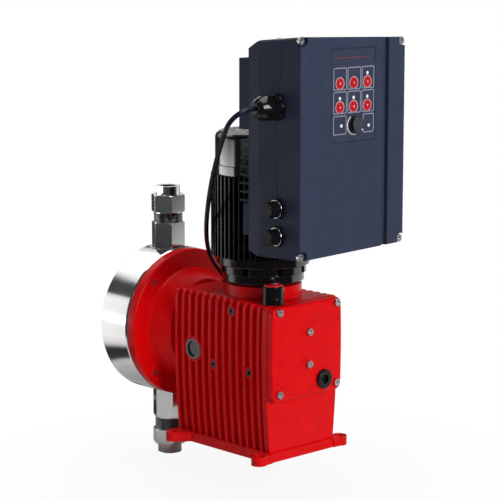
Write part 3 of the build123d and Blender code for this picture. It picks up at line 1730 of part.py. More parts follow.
with BuildPart() as blanking_plugs:
    for x, z in plug_places:
        with BuildSketch(Plane.XZ.offset(-front_y)):
            with Locations((x, z)):
                RegularPolygon(10.5, 6, major_radius=False)
                Circle(plug_hole_r - 0.1, mode=Mode.SUBTRACT)
        extrude(amount=4.4)
    for x, z in plug_places:
        with BuildSketch(Plane.XZ.offset(-tongue_y - 3)):
            with Locations((x, z)):
                Circle(plug_hole_r - 0.1)
        extrude(amount=box_wall + 3 + 4.4)
        with BuildSketch(Plane.XZ.offset(-front_y + 4.4)):
            with Locations((x, z)):
                Circle(9.0)
        extrude(amount=14.0)
save(blanking_plugs.part, "blanking_plugs")

# ------------------------------------------------------------------ signal cable
def corner_radii(points):
    """Bend radius at every inner corner, from the shorter run beside it."""
    radii = []
    for before, here, after in zip(points, points[1:], points[2:]):
        run_in = Vector(*here) - Vector(*before)
        run_out = Vector(*after) - Vector(*here)
        half_turn = radians(run_in.get_angle(run_out)) / 2
        shorter = min(run_in.length, run_out.length)
        radii.append(0.45 * shorter / (sin(half_turn) / cos(half_turn)))
    return radii


cable_radii = corner_radii(cable_route)
print("cable corner radii", [round(r, 1) for r in cable_radii])
with BuildPart() as signal_cable:
    with BuildLine() as cable_line:
        FilletPolyline(*cable_route, radius=cable_radii)
    with BuildSketch(Plane(origin=cable_line.line @ 0, z_dir=cable_line.line % 0)):
        Circle(cable_d / 2)
    sweep(path=cable_line.line)
cable_length = sum(edge.length for edge in cable_line.edges())
section_volume = pi * cable_d**2 / 4 * cable_length
print("cable length", round(cable_length, 1))
print("cable volume over section times length", round(signal_cable.part.volume / section_volume, 4))
save(signal_cable.part, "signal_cable")

with BuildPart() as cable_grommet:
    with BuildSketch(Plane(origin=cable_end, z_dir=end_run)):
        Circle(cable_d / 2 + 1.4)
    extrude(amount=12)
    with BuildSketch(Plane.XY.offset(body_top)):
        with Locations(grommet_place):
            Circle(30)
    extrude(amount=-30, mode=Mode.SUBTRACT)
    with BuildSketch(Plane.XY.offset(body_top)):
        with Locations(grommet_place):
            Circle(grommet_r)
    extrude(amount=grommet_h)
    with BuildSketch(Plane.XY.offset(body_top)):
        with Locations(grommet_place):
            Circle(grommet_hole_r - 0.1)
    extrude(amount=-grommet_hole_depth + 0.3)
save(cable_grommet.part, "cable_grommet")
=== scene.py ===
import math

import bmesh
import bpy
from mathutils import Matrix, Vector


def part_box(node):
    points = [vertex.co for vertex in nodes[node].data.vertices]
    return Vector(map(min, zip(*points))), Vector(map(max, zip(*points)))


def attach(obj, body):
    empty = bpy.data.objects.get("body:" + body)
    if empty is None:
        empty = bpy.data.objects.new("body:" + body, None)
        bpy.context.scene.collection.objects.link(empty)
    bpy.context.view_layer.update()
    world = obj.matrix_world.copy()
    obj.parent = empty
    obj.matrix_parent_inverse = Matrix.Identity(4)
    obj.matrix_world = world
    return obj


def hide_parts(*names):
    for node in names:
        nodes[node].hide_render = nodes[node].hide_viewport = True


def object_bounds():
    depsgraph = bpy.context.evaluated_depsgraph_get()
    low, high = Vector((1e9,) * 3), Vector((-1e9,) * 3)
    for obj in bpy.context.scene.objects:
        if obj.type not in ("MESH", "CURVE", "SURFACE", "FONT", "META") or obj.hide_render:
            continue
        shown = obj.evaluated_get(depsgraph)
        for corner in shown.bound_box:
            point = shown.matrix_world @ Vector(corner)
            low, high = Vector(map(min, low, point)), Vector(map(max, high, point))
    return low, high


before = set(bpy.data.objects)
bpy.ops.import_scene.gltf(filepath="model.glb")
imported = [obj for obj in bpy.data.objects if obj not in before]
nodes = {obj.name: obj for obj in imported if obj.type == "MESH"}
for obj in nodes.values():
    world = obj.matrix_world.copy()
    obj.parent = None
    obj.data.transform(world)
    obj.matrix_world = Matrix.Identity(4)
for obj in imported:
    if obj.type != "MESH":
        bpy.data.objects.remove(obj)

cad_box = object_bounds()

# ------------------------------------------------------------------ camera and studio
# A product shot: the pump stands in front of a white sweep, seen a little from above with a long
# lens. Soft boxes stand at the sides and overhead, so that the turned steel and the black enamel
# show long clean reflections.
eye = Vector((1.6104, -1.5288, 0.6105))
eye_back = Vector((0.71706, -0.67643, 0.16815))
focal_px = 1923.84
picture_px = 500

camera = bpy.data.cameras.new("camera")
camera.sensor_width = 36.0
camera.lens = camera.sensor_width * focal_px / picture_px
camera.clip_end = 20.0
camera_object = bpy.data.objects.new("camera", camera)
camera_object.location = eye
camera_object.rotation_euler = eye_back.to_track_quat("Z", "Y").to_euler()
bpy.context.scene.collection.objects.link(camera_object)
bpy.context.scene.camera = camera_object
bpy.context.scene.view_settings.view_transform = "Standard"

# The sweep behind the pump is white, and the room behind the camera is dim. The lens and the
# reflections in metal and enamel see the sweep, and only the dim room adds to the soft boxes.
world = bpy.data.worlds.new("studio")
world.use_nodes = True
sky = world.node_tree
room = sky.nodes["Background"]
room.inputs["Color"].default_value = (0.90, 0.94, 1.0, 1.0)
room.inputs["Strength"].default_value = 0.06
sweep = sky.nodes.new("ShaderNodeBackground")
sweep.inputs["Color"].default_value = (1.0, 1.0, 1.0, 1.0)


def studio_ramp(tree, value, first, last, low=0.0, high=1.0):
    """Node value spread from the numbers first and last to low and high."""
    ramp = tree.nodes.new("ShaderNodeMapRange")
    for name, number in (("From Min", first), ("From Max", last), ("To Min", low), ("To Max", high)):
        ramp.inputs[name].default_value = number
    tree.links.new(value, ramp.inputs["Value"])
    return ramp.outputs["Result"]


def studio_maths(tree, kind, one, other):
    """Result of a sum on a node value and another node value or number."""
    node = tree.nodes.new("ShaderNodeMath")
    node.operation = kind
    tree.links.new(one, node.inputs[0])
    if isinstance(other, float):
        node.inputs[1].default_value = other
    else:
        tree.links.new(other, node.inputs[1])
    return node.outputs["Value"]


def studio_towards(tree, vector, way):
    """How far a node vector points or lies towards a way."""
    node = tree.nodes.new("ShaderNodeVectorMath")
    node.operation = "DOT_PRODUCT"
    node.inputs[1].default_value = way
    tree.links.new(vector, node.inputs[0])
    return node.outputs["Value"]


def studio_mix(tree, share, dim, light, output):
    """Joins two shaders by a share and feeds the surface of an output node."""
    either = tree.nodes.new("ShaderNodeMixShader")
    tree.links.new(share, either.inputs["Fac"])
    tree.links.new(dim, either.inputs[1])
    tree.links.new(light, either.inputs[2])
    tree.links.new(either.outputs["Shader"], tree.nodes[output].inputs["Surface"])


# Black flags stand low on the left, high in front and round the picture. They show in metal and
# enamel alone, where they draw the dark outlines of round pieces.
flag_way = (-0.966, 0.259, 0.0)
sweep_in_gloss = 0.8
direction = sky.nodes.new("ShaderNodeTexCoord").outputs["Generated"]
away = studio_towards(sky, direction, -eye_back)
split = sky.nodes.new("ShaderNodeSeparateXYZ")
sky.links.new(direction, split.inputs["Vector"])
height = split.outputs["Z"]
beside_flag = studio_towards(sky, direction, flag_way)
low_flag = studio_maths(sky, "MULTIPLY", studio_ramp(sky, beside_flag, 0.80, 0.84),
                        studio_ramp(sky, height, 0.12, 0.08))
outline_flag = studio_maths(sky, "MULTIPLY", studio_ramp(sky, away, 0.76, 0.80),
                            studio_ramp(sky, away, 0.95, 0.92))
high_flag = studio_maths(sky, "MULTIPLY", studio_ramp(sky, height, 0.28, 0.36),
                         studio_ramp(sky, away, 0.40, 0.30))
flag = studio_maths(sky, "MAXIMUM", low_flag, outline_flag)
flag = studio_maths(sky, "MAXIMUM", flag, high_flag)
bright = studio_maths(sky, "SUBTRACT", studio_ramp(sky, away, 0.08, 0.14), flag)
bright = studio_maths(sky, "MINIMUM", bright, sweep_in_gloss)
ray = sky.nodes.new("ShaderNodeLightPath")
in_gloss = studio_maths(sky, "MULTIPLY", ray.outputs["Is Glossy Ray"], bright)
seen = studio_maths(sky, "MAXIMUM", ray.outputs["Is Camera Ray"], ray.outputs["Is Transmission Ray"])
studio_mix(sky, studio_maths(sky, "MAXIMUM", seen, in_gloss), room.outputs["Background"],
           sweep.outputs["Background"], "World Output")
bpy.context.scene.world = world

aim = Vector((0.0, 0.0, 0.2))


def soft_box(name, place, size, watts):
    """Rectangular area light that faces the pump."""
    light = bpy.data.lights.new(name, "AREA")
    light.shape = "RECTANGLE"
    light.size, light.size_y = size
    light.energy = watts
    lamp = bpy.data.objects.new(name, light)
    lamp.location = place
    lamp.rotation_euler = (Vector(place) - aim).to_track_quat("Z", "Y").to_euler()
    bpy.context.scene.collection.objects.link(lamp)
    return lamp


soft_box("key_box", (2.1, -0.15, 0.95), (0.9, 0.9), 34)
soft_box("top_box", (0.3, 0.1, 2.0), (1.4, 1.4), 22)
soft_box("left_high_box", (-1.42, 0.0, 1.54), (1.9, 0.62), 4.0)
soft_box("fill_box", (0.3, -2.2, 0.5), (1.2, 0.8), 2.2)
# The cards beside the head are there for the long reflections in steel and enamel alone.
left_card = soft_box("left_card", (-1.35, -1.05, 0.44), (1.7, 0.60), 2.3)
left_strip = soft_box("left_strip", (-1.35, -1.05, 0.07), (1.7, 0.14), 3.2)
for card in (left_card, left_strip):
    card.visible_diffuse = False

# The floor runs into the sweep: it keeps a faint shadow near the feet and turns white further out.
# In metal and enamel its far part is white and its near and front parts are dark.
floor_gap = 0.0005
floor_half = 1.6
bm = bmesh.new()
bmesh.ops.create_grid(bm, x_segments=1, y_segments=1, size=floor_half)
floor_mesh = bpy.data.meshes.new("floor")
bm.to_mesh(floor_mesh)
bm.free()
floor = bpy.data.objects.new("floor", floor_mesh)
floor.location = (0.0, 0.0, cad_box[0].z - floor_gap)
bpy.context.scene.collection.objects.link(floor)
floor_material = bpy.data.materials.new("floor")
floor_material.use_nodes = True
ground = floor_material.node_tree
pale = ground.nodes["Principled BSDF"]
pale.inputs["Base Color"].default_value = (0.70, 0.70, 0.70, 1.0)
pale.inputs["Roughness"].default_value = 0.9
white = ground.nodes.new("ShaderNodeEmission")
white.inputs["Color"].default_value = (1.0, 1.0, 1.0, 1.0)
flag_strength = 0.03
spot = ground.nodes.new("ShaderNodeTexCoord").outputs["Object"]
spot_reach = ground.nodes.new("ShaderNodeVectorMath")
spot_reach.operation = "LENGTH"
ground.links.new(spot, spot_reach.inputs[0])
reach = spot_reach.outputs["Value"]
heading = ground.nodes.new("ShaderNodeVectorMath")
heading.operation = "NORMALIZE"
ground.links.new(spot, heading.inputs[0])
behind = studio_towards(ground, spot, -eye_back)
flagged = studio_towards(ground, heading.outputs["Vector"], flag_way)
path = ground.nodes.new("ShaderNodeLightPath")
seen_share = studio_maths(ground, "MULTIPLY", studio_ramp(ground, reach, 0.12, 0.38, 0.92, 1.0),
                          path.outputs["Is Camera Ray"])
left_share = studio_maths(ground, "MULTIPLY", studio_ramp(ground, flagged, 0.78, 0.82),
                          studio_ramp(ground, reach, 0.35, 0.45))
ring_share = studio_maths(ground, "MULTIPLY", studio_ramp(ground, reach, 0.31, 0.34),
                          studio_ramp(ground, reach, 0.42, 0.48, 1.0, 0.0))
ring_share = studio_maths(ground, "MULTIPLY", ring_share, studio_ramp(ground, flagged, 0.3, 0.5))
front_share = studio_maths(ground, "MULTIPLY", studio_ramp(ground, reach, 0.36, 0.50),
                           studio_ramp(ground, behind, -0.10, -0.02, 1.0, 0.0))
far_share = studio_maths(ground, "MULTIPLY", studio_ramp(ground, reach, 0.30, 0.60),
                         studio_ramp(ground, behind, -0.08, 0.08))
flag_share = studio_maths(ground, "MAXIMUM", left_share, ring_share)
flag_share = studio_maths(ground, "MAXIMUM", flag_share, front_share)
gloss_share = studio_maths(ground, "MULTIPLY", studio_maths(ground, "MAXIMUM", far_share, flag_share),
                           path.outputs["Is Glossy Ray"])
flag_in_gloss = studio_maths(ground, "MULTIPLY", flag_share, path.outputs["Is Glossy Ray"])
ground.links.new(studio_ramp(ground, flag_in_gloss, 0.0, 1.0, 1.0, flag_strength), white.inputs["Strength"])
studio_mix(ground, studio_maths(ground, "MAXIMUM", seen_share, gloss_share), pale.outputs["BSDF"],
           white.outputs["Emission"], "Material Output")
floor_mesh.materials.append(floor_material)


# ------------------------------------------------------------------ red castings
# Gear housing, round side cover, square end cover and lantern are iron and aluminium castings,
# machined where they meet and sprayed with a bright red gloss enamel that rounds every edge.
def finish_material(name, colour, roughness, metallic=0.0, coat=0.0, edge=0.0004, mottle=0.1,
                    mottle_size=60.0, grain=0.05, grain_size=900.0, rough_range=0.08, gloss=0.5):
    """Painted or bare surface with soft edges, faint mottling and a fine grain.

    edge is the radius in metres that the shading rounds every edge to.
    """
    material = bpy.data.materials.new(name)
    material.use_nodes = True
    tree = material.node_tree
    shader = tree.nodes["Principled BSDF"]
    shader.inputs["Metallic"].default_value = metallic
    shader.inputs["Coat Weight"].default_value = coat
    shader.inputs["Coat Roughness"].default_value = 0.08
    shader.inputs["Specular IOR Level"].default_value = gloss
    place = tree.nodes.new("ShaderNodeTexCoord")
    patches = tree.nodes.new("ShaderNodeTexNoise")
    patches.inputs["Scale"].default_value = mottle_size
    patches.inputs["Detail"].default_value = 3.0
    tree.links.new(place.outputs["Object"], patches.inputs["Vector"])
    ramp = tree.nodes.new("ShaderNodeValToRGB")
    ramp.color_ramp.elements[0].position = 0.3
    ramp.color_ramp.elements[1].position = 0.7
    ramp.color_ramp.elements[0].color = (*[c * (1 - mottle) for c in colour], 1.0)
    ramp.color_ramp.elements[1].color = (*[min(1.0, c * (1 + mottle)) for c in colour], 1.0)
    tree.links.new(patches.outputs["Fac"], ramp.inputs["Fac"])
    tree.links.new(ramp.outputs["Color"], shader.inputs["Base Color"])
    sheen = tree.nodes.new("ShaderNodeMapRange")
    sheen.inputs["To Min"].default_value = max(0.02, roughness - rough_range)
    sheen.inputs["To Max"].default_value = roughness + rough_range
    tree.links.new(patches.outputs["Fac"], sheen.inputs["Value"])
    tree.links.new(sheen.outputs["Result"], shader.inputs["Roughness"])
    fine = tree.nodes.new("ShaderNodeTexNoise")
    fine.inputs["Scale"].default_value = grain_size
    fine.inputs["Detail"].default_value = 2.0
    tree.links.new(place.outputs["Object"], fine.inputs["Vector"])
    bump = tree.nodes.new("ShaderNodeBump")
    bump.inputs["Strength"].default_value = grain
    bump.inputs["Distance"].default_value = 0.0003
    tree.links.new(fine.outputs["Fac"], bump.inputs["Height"])
    if edge:
        soft = tree.nodes.new("ShaderNodeBevel")
        soft.samples = 6
        soft.inputs["Radius"].default_value = edge
        tree.links.new(soft.outputs["Normal"], bump.inputs["Normal"])
    tree.links.new(bump.outputs["Normal"], shader.inputs["Normal"])
    return material


def dress(material, *names):
    """Gives CAD nodes a material."""
    for name in names:
        mesh = nodes[name].data
        mesh.materials.clear()
        mesh.materials.append(material)


enamel_red = finish_material("enamel_red", (0.74, 0.002, 0.004), 0.30, edge=0.0012,
                             mottle=0.05, grain=0.10, grain_size=500.0, gloss=0.12)
dress(enamel_red, "gear_housing", "side_cover", "end_cover", "head_flange")

# ------------------------------------------------------------------ oil filler and drain plug
# The filler is a moulded black cap with a groove round it and a red disc pressed into its top. It
# also vents the housing. The drain is a black plug with a hexagon recess, screwed through the cover.
glossy_black = finish_material("glossy_black", (0.005, 0.005, 0.006), 0.16, edge=0.0006,
                               mottle=0.15, grain=0.04, gloss=0.4)
dress(glossy_black, "vent_plug", "drain_plug", "speed_knob", "gland_body", "gland_nut", "fan")


def mesh_object(name, bm, *materials):
    """Links a bmesh as a new object with its materials."""
    mesh = bpy.data.meshes.new(name)
    bm.to_mesh(mesh)
    bm.free()
    for material in materials:
        mesh.materials.append(material)
    piece = bpy.data.objects.new(name, mesh)
    bpy.context.scene.collection.objects.link(piece)
    return piece


def spin_profile(bm, profile, centre, axis, count=64, closed=False):
    """Turns (radius, height) points about an axis through centre into a smooth skin."""
    axis = Vector(axis).normalized()
    side = axis.orthogonal().normalized()
    up = axis.cross(side)
    rings = []
    for radius, height in profile:
        ring = []
        for i in range(count):
            turn = 2 * math.pi * i / count
            out = side * math.cos(turn) + up * math.sin(turn)
            ring.append(bm.verts.new(Vector(centre) + axis * height + out * radius))
        rings.append(ring)
    pairs = list(zip(rings, rings[1:]))
    if closed:
        pairs.append((rings[-1], rings[0]))
    for low, high in pairs:
        for i in range(count):
            j = (i + 1) % count
            face = bm.faces.new((low[i], low[j], high[j], high[i]))
            face.smooth = True
    return rings


def round_spot(centre, radius, count=24):
    """Corners of a round outline about a centre in a plane."""
    turns = [2 * math.pi * i / count for i in range(count)]
    return [(centre[0] + radius * math.cos(turn), centre[1] + radius * math.sin(turn)) for turn in turns]


vent_low, vent_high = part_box("vent_plug")
vent_centre = (vent_low + vent_high) / 2
disc_share = 0.88           # of the cap's radius
disc_r = disc_share * (vent_high.x - vent_low.x) / 2
disc_sink = 0.0002
disc_rise = 0.0021          # top of the crown over the sunk edge
disc_red = finish_material("disc_red", (0.74, 0.010, 0.014), 0.25, coat=0.2, edge=0)
bm = bmesh.new()
disc_side = [(disc_r, 0.0), (disc_r, 0.0011), (disc_r - 0.0008, 0.0018), (0.3 * disc_r, disc_rise)]
rings = spin_profile(bm, disc_side, (vent_centre.x, vent_centre.y, vent_high.z - disc_sink), (0, 0, 1))
bm.faces.new(rings[-1])
vent_disc = mesh_object("vent_disc", bm, disc_red)
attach(vent_disc, "housing")

# ------------------------------------------------------------------ sight glass
# A ring in dark nickel plate is screwed into a boss between the ribs and holds the glass. The oil
# behind makes the glass look dark blue-grey.
nickel = finish_material("nickel", (0.13, 0.13, 0.135), 0.28, metallic=1.0, edge=0.0003,
                         mottle=0.1)
dress(nickel, "sight_glass_ring")
glass = finish_material("oil_glass", (0.012, 0.020, 0.028), 0.10, coat=0.3, edge=0.0003,
                        mottle=0.3, mottle_size=150.0)
dress(glass, "sight_glass")

# ------------------------------------------------------------------ screws
# Socket screws hold every cover and flange. Those of the end cover, head and inverter are zinc
# plated. Those of the lantern, motor and side cover get a near-black steel colour: painted shade for the
# deep bores and gaps they sit in.
zinc = finish_material("zinc", (0.62, 0.62, 0.63), 0.28, metallic=1.0, edge=0.0003, mottle=0.15,
                       mottle_size=400.0)
dress(zinc, "end_cover_screws", "head_screws", "inverter_screws")
# Near-black steel colour: painted shade of the deep screw bores and of the gap under the motor ring.
dark_shade_screws = finish_material("screws_painted_shade", (0.05, 0.045, 0.045), 0.3, metallic=1.0,
                            edge=0.0003, mottle=0.2)
dress(dark_shade_screws, "lantern_screws", "motor_screws", "side_cover_screws")

# ------------------------------------------------------------------ drive inside the housing
# Ground steel shafts and ball bearings carry a steel worm and a bronze worm wheel. The push rod
# slides in a bronze bush against a wound spring. The stator has the copper of its windings.
ground_steel = finish_material("ground_steel", (0.5, 0.5, 0.52), 0.22, metallic=1.0, edge=0.0003)
dress(ground_steel, "ball_bearings", "worm_shaft", "spur_gear", "eccentric_shaft",
      "eccentric_bearing", "push_rod", "return_spring", "rotor")
bronze = finish_material("bronze", (0.55, 0.34, 0.14), 0.3, metallic=1.0, edge=0.0003)
dress(bronze, "worm_wheel", "rod_bush")
copper = finish_material("windings", (0.45, 0.16, 0.07), 0.4, metallic=0.6, edge=0)
dress(copper, "stator")

# ------------------------------------------------------------------ pump head and ball valves
# The head is a stainless disc turned all over, so fine grooves run round it. Screws hold it on the
# lantern. The valve bodies, union nuts and tails are machined from stainless bar and screwed
# together, and the balls are ceramic.
def turned_material(name, colour, roughness, axis, pitch=0.0006, groove=0.15):
    """Bare metal with turning marks round an axis, named "X", "Y" or "Z"."""
    material = finish_material(name, colour, roughness, metallic=1.0, edge=0.0005, mottle=0.06,
                               mottle_size=25.0, grain=0.03, rough_range=0.03)
    tree = material.node_tree
    shader = tree.nodes["Principled BSDF"]
    coords = next(n for n in tree.nodes if n.type == "TEX_COORD")
    spread = tree.nodes.new("ShaderNodeMapping")
    along = 1.0 / pitch
    spread.inputs["Scale"].default_value = [along if a == axis else 3.0 for a in "XYZ"]
    tree.links.new(coords.outputs["Object"], spread.inputs["Vector"])
    lines = tree.nodes.new("ShaderNodeTexNoise")
    lines.inputs["Scale"].default_value = 1.0
    lines.inputs["Detail"].default_value = 2.0
    tree.links.new(spread.outputs["Vector"], lines.inputs["Vector"])
    bump = next(n for n in tree.nodes if n.type == "BUMP")
    marks = tree.nodes.new("ShaderNodeBump")
    marks.inputs["Strength"].default_value = groove
    marks.inputs["Distance"].default_value = 0.0001
    tree.links.new(lines.outputs["Fac"], marks.inputs["Height"])
    tree.links.new(bump.outputs["Normal"], marks.inputs["Normal"])
    tree.links.new(marks.outputs["Normal"], shader.inputs["Normal"])
    return material


head_steel = turned_material("turned_steel", (0.84, 0.83, 0.82), 0.12, "X")
dress(head_steel, "pump_head", "diaphragm_core")
valve_steel = turned_material("valve_steel", (0.74, 0.74, 0.74), 0.12, "Z")
dress(valve_steel, "discharge_valve_body", "discharge_union_nut", "discharge_tail",
      "suction_valve_body", "suction_union_nut", "suction_tail", "discharge_seat", "suction_seat")
# Each valve body shows the rest of its union thread between its hexagon and the nut. A turn is
# three strips: the root, the rising flank and the falling flank.
thread_tree = bpy.data.node_groups.new("union_thread", "GeometryNodeTree")
thread_inputs = {}
for name, kind in (("Turns", "NodeSocketInt"), ("Pitch", "NodeSocketFloat"),
                   ("Root Radius", "NodeSocketFloat"), ("Crest Radius", "NodeSocketFloat"),
                   ("Flank Start", "NodeSocketFloat"), ("Crest Height", "NodeSocketFloat"),
                   ("Foot", "NodeSocketVector"), ("Steel", "NodeSocketMaterial")):
    socket = thread_tree.interface.new_socket(name, in_out="INPUT", socket_type=kind)
    thread_inputs[name] = socket.identifier
thread_tree.interface.new_socket("Thread", in_out="OUTPUT", socket_type="NodeSocketGeometry")
thread_in = thread_tree.nodes.new("NodeGroupInput").outputs


def thread_node(kind, **inputs):
    """Adds a node to the tree and feeds its inputs, named with _ for a space."""
    node = thread_tree.nodes.new(kind)
    for name, value in inputs.items():
        thread_tree.links.new(value, node.inputs[name.replace("_", " ")])
    return node


def thread_strip(bottom, top, low, high):
    """One open strip of a turn, with a radius at its bottom and top, between two heights."""
    depth = thread_node("ShaderNodeMath")
    depth.operation = "SUBTRACT"
    thread_tree.links.new(high, depth.inputs[0])
    thread_tree.links.new(low, depth.inputs[1])
    strip = thread_node("GeometryNodeMeshCone", Radius_Bottom=bottom, Radius_Top=top,
                        Depth=depth.outputs["Value"])
    strip.fill_type = "NONE"
    strip.inputs["Vertices"].default_value = 64
    lift = thread_node("ShaderNodeCombineXYZ", Z=low)
    return thread_node("GeometryNodeTransform", Geometry=strip.outputs["Mesh"],
                       Translation=lift.outputs["Vector"]).outputs["Geometry"]


turn_foot = thread_node("ShaderNodeValue").outputs["Value"]
turn_foot.default_value = 0.0
root_r, crest_r = thread_in["Root Radius"], thread_in["Crest Radius"]
turn = thread_node("GeometryNodeJoinGeometry")
for strip in ((root_r, root_r, turn_foot, thread_in["Flank Start"]),
              (root_r, crest_r, thread_in["Flank Start"], thread_in["Crest Height"]),
              (crest_r, root_r, thread_in["Crest Height"], thread_in["Pitch"])):
    thread_tree.links.new(thread_strip(*strip), turn.inputs["Geometry"])
step = thread_node("ShaderNodeCombineXYZ", Z=thread_in["Pitch"])
feet = thread_node("GeometryNodeMeshLine", Count=thread_in["Turns"],
                   Start_Location=thread_in["Foot"], Offset=step.outputs["Vector"])
turns = thread_node("GeometryNodeInstanceOnPoints", Points=feet.outputs["Mesh"],
                    Instance=turn.outputs["Geometry"])
real_turns = thread_node("GeometryNodeRealizeInstances", Geometry=turns.outputs["Instances"])
steel_turns = thread_node("GeometryNodeSetMaterial", Geometry=real_turns.outputs["Geometry"],
                          Material=thread_in["Steel"])
thread_node("NodeGroupOutput", Thread=steel_turns.outputs["Geometry"])

thread_steel = finish_material("thread_steel", (0.16, 0.16, 0.165), 0.24, metallic=1.0, edge=0,
                               mottle=0.2)
thread_pitch = 0.0016
thread_sizes = {"Pitch": thread_pitch, "Root Radius": 0.01705, "Crest Radius": 0.01775,
                "Flank Start": 0.0003, "Crest Height": 0.0009, "Steel": thread_steel}
for side, gap_low, gap_high in (("discharge", 0.2486, 0.2609), ("suction", -0.0119, 0.0039)):
    nut_low, nut_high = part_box(f"{side}_union_nut")
    thread_sizes["Turns"] = int((gap_high - gap_low) / thread_pitch)
    thread_sizes["Foot"] = ((nut_low.x + nut_high.x) / 2, (nut_low.y + nut_high.y) / 2, gap_low)
    thread = mesh_object(f"{side}_thread", bmesh.new())
    cutter = thread.modifiers.new("thread", "NODES")
    cutter.node_group = thread_tree
    for name, value in thread_sizes.items():
        cutter[thread_inputs[name]] = value
    evaluated = thread.evaluated_get(bpy.context.evaluated_depsgraph_get())
    thread_mesh = bpy.data.meshes.new_from_object(evaluated)
    thread.modifiers.remove(cutter)
    thread.data = thread_mesh
    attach(thread, "housing")

ceramic = finish_material("ceramic", (0.75, 0.72, 0.65), 0.12, coat=0.5, edge=0)
dress(ceramic, "discharge_ball", "suction_ball")
soft_black = finish_material("soft_black", (0.015, 0.015, 0.016), 0.5, edge=0.0003, grain=0.2)
dress(soft_black, "diaphragm", "end_cover_gasket", "cable_grommet")

# ------------------------------------------------------------------ motor
# Cast and finned motor housing, flange and end shield in black gloss enamel, with a pressed steel
# fan cover over a moulded fan. Screws in a near-black steel colour, painted shade, hold the flange on top
# of the gear housing.
enamel_black = finish_material("enamel_black", (0.004, 0.004, 0.005), 0.12, edge=0.0008,
                               mottle=0.1, grain=0.02, grain_size=450.0, gloss=0.9,
                               rough_range=0.01)
dress(enamel_black, "motor_flange", "motor_end_shield", "fan_cover")
cast_black = finish_material("cast_black", (0.004, 0.004, 0.005), 0.28, edge=0.0006, mottle=0.2,
                             grain=0.08, grain_size=450.0, gloss=0.25)
dress(cast_black, "motor_body")

# ------------------------------------------------------------------ inverter
# Two die-cast halves, powder coated in dark blue-grey, meet at a cranked seam and are screwed
# together. A saddle of the same finish carries them on the motor. Moulded black plugs close two
# unused cable entries.
powder_grey = finish_material("powder_grey", (0.036, 0.044, 0.078), 0.42, edge=0.0012,
                              mottle=0.06, grain=0.30, grain_size=1400.0, gloss=0.06)
dress(powder_grey, "inverter_base", "inverter_cover", "inverter_saddle")
plug_black = finish_material("plug_black", (0.006, 0.006, 0.008), 0.25, edge=0.0008, mottle=0.2,
                             gloss=0.08)
dress(plug_black, "blanking_plugs")

# A thin bright metal ring lies round each plug's cap, on the front of its hexagon. It is a painted
# highlight: it stands in for the glint on the hexagon's chamfer.
painted_highlight_ring = finish_material("painted_highlight_ring", (0.80, 0.80, 0.82), 0.16, metallic=1.0, edge=0,
                              mottle=0.05)
ring_r = 0.0097
ring_wire_r = 0.0005
plug_cap_depth = 0.0139     # from the cap's front to the ring
plug_half = 0.0105          # half the hexagon, across its flats
plug_low, plug_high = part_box("blanking_plugs")
ring_profile = [(ring_r + y, z) for y, z in round_spot((0, 0), ring_wire_r, 8)]
for number, plug_z in ((1, plug_high.z - plug_half), (2, plug_low.z + plug_half)):
    bm = bmesh.new()
    spin_profile(bm, ring_profile,
                 ((plug_low.x + plug_high.x) / 2, plug_low.y + plug_cap_depth, plug_z),
                 (0, -1, 0), count=48, closed=True)
    ring = mesh_object(f"plug_highlight_ring_{number}", bm, painted_highlight_ring)
    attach(ring, "housing")

# ------------------------------------------------------------------ keypad and speed knob
# A foil with six round rubber keys in light rings and six white lamp windows is stuck into the
# cover, and a knob with a grey face and a light scale arc turns beside the lower windows.
panel_foil = finish_material("panel_foil", (0.038, 0.046, 0.078), 0.36, edge=0.0003, mottle=0.05,
                             gloss=0.08)
dress(panel_foil, "keypad_panel")
key_red = finish_material("key_red", (0.45, 0.008, 0.016), 0.3, edge=0.0005, gloss=0.3)
key_names = [f"key_{number}" for number in range(1, 7)]
dress(key_red, *key_names)
print_lilac = finish_material("print_lilac", (0.26, 0.26, 0.33), 0.5, edge=0, mottle=0.06)
print_white = finish_material("print_white", (0.80, 0.80, 0.84), 0.5, edge=0, mottle=0.03)
print_rose = finish_material("print_rose", (0.66, 0.42, 0.46), 0.5, edge=0, mottle=0.04)
print_red = finish_material("print_red", (0.20, 0.02, 0.04), 0.5, edge=0, mottle=0.04)
print_dark = finish_material("print_dark", (0.008, 0.010, 0.018), 0.5, edge=0, mottle=0.1)


def facing_x(bm, x, outline, slot):
    """Flat printed area in a plane that faces +X, from (y, z) corners."""
    face = bm.faces.new([bm.verts.new((x, y, z)) for y, z in outline])
    face.material_index = slot


def arc_strip(bm, x, centre, inner, outer, start, end, slot, steps=40):
    """Printed arc of a ring, between two angles in degrees measured from +Y towards +Z."""
    rows = []
    for i in range(steps + 1):
        turn = math.radians(start + (end - start) * i / steps)
        rows.append([bm.verts.new((x, centre[0] + r * math.cos(turn), centre[1] + r * math.sin(turn)))
                     for r in (inner, outer)])
    for (a, b), (c, d) in zip(rows, rows[1:]):
        face = bm.faces.new((a, b, d, c))
        face.material_index = slot


def rounded(y0, y1, z0, z1, corner, steps=6):
    """Corners of a rounded rectangle as (y, z) points."""
    points = []
    for cy, cz, first in ((y1 - corner, z1 - corner, 0), (y0 + corner, z1 - corner, 90),
                          (y0 + corner, z0 + corner, 180), (y1 - corner, z0 + corner, 270)):
        for i in range(steps + 1):
            turn = math.radians(first + 90 * i / steps)
            points.append((cy + corner * math.cos(turn), cz + corner * math.sin(turn)))
    return points


def frame_strip(bm, x, y0, y1, z0, z1, width, corner, slot):
    """Printed outline of a rounded rectangle."""
    outer = [bm.verts.new((x, y, z)) for y, z in rounded(y0, y1, z0, z1, corner)]
    inner = [bm.verts.new((x, y, z)) for y, z in
             rounded(y0 + width, y1 - width, z0 + width, z1 - width, max(corner - width, 1e-4))]
    for i in range(len(outer)):
        j = (i + 1) % len(outer)
        face = bm.faces.new((outer[i], outer[j], inner[j], inner[i]))
        face.material_index = slot


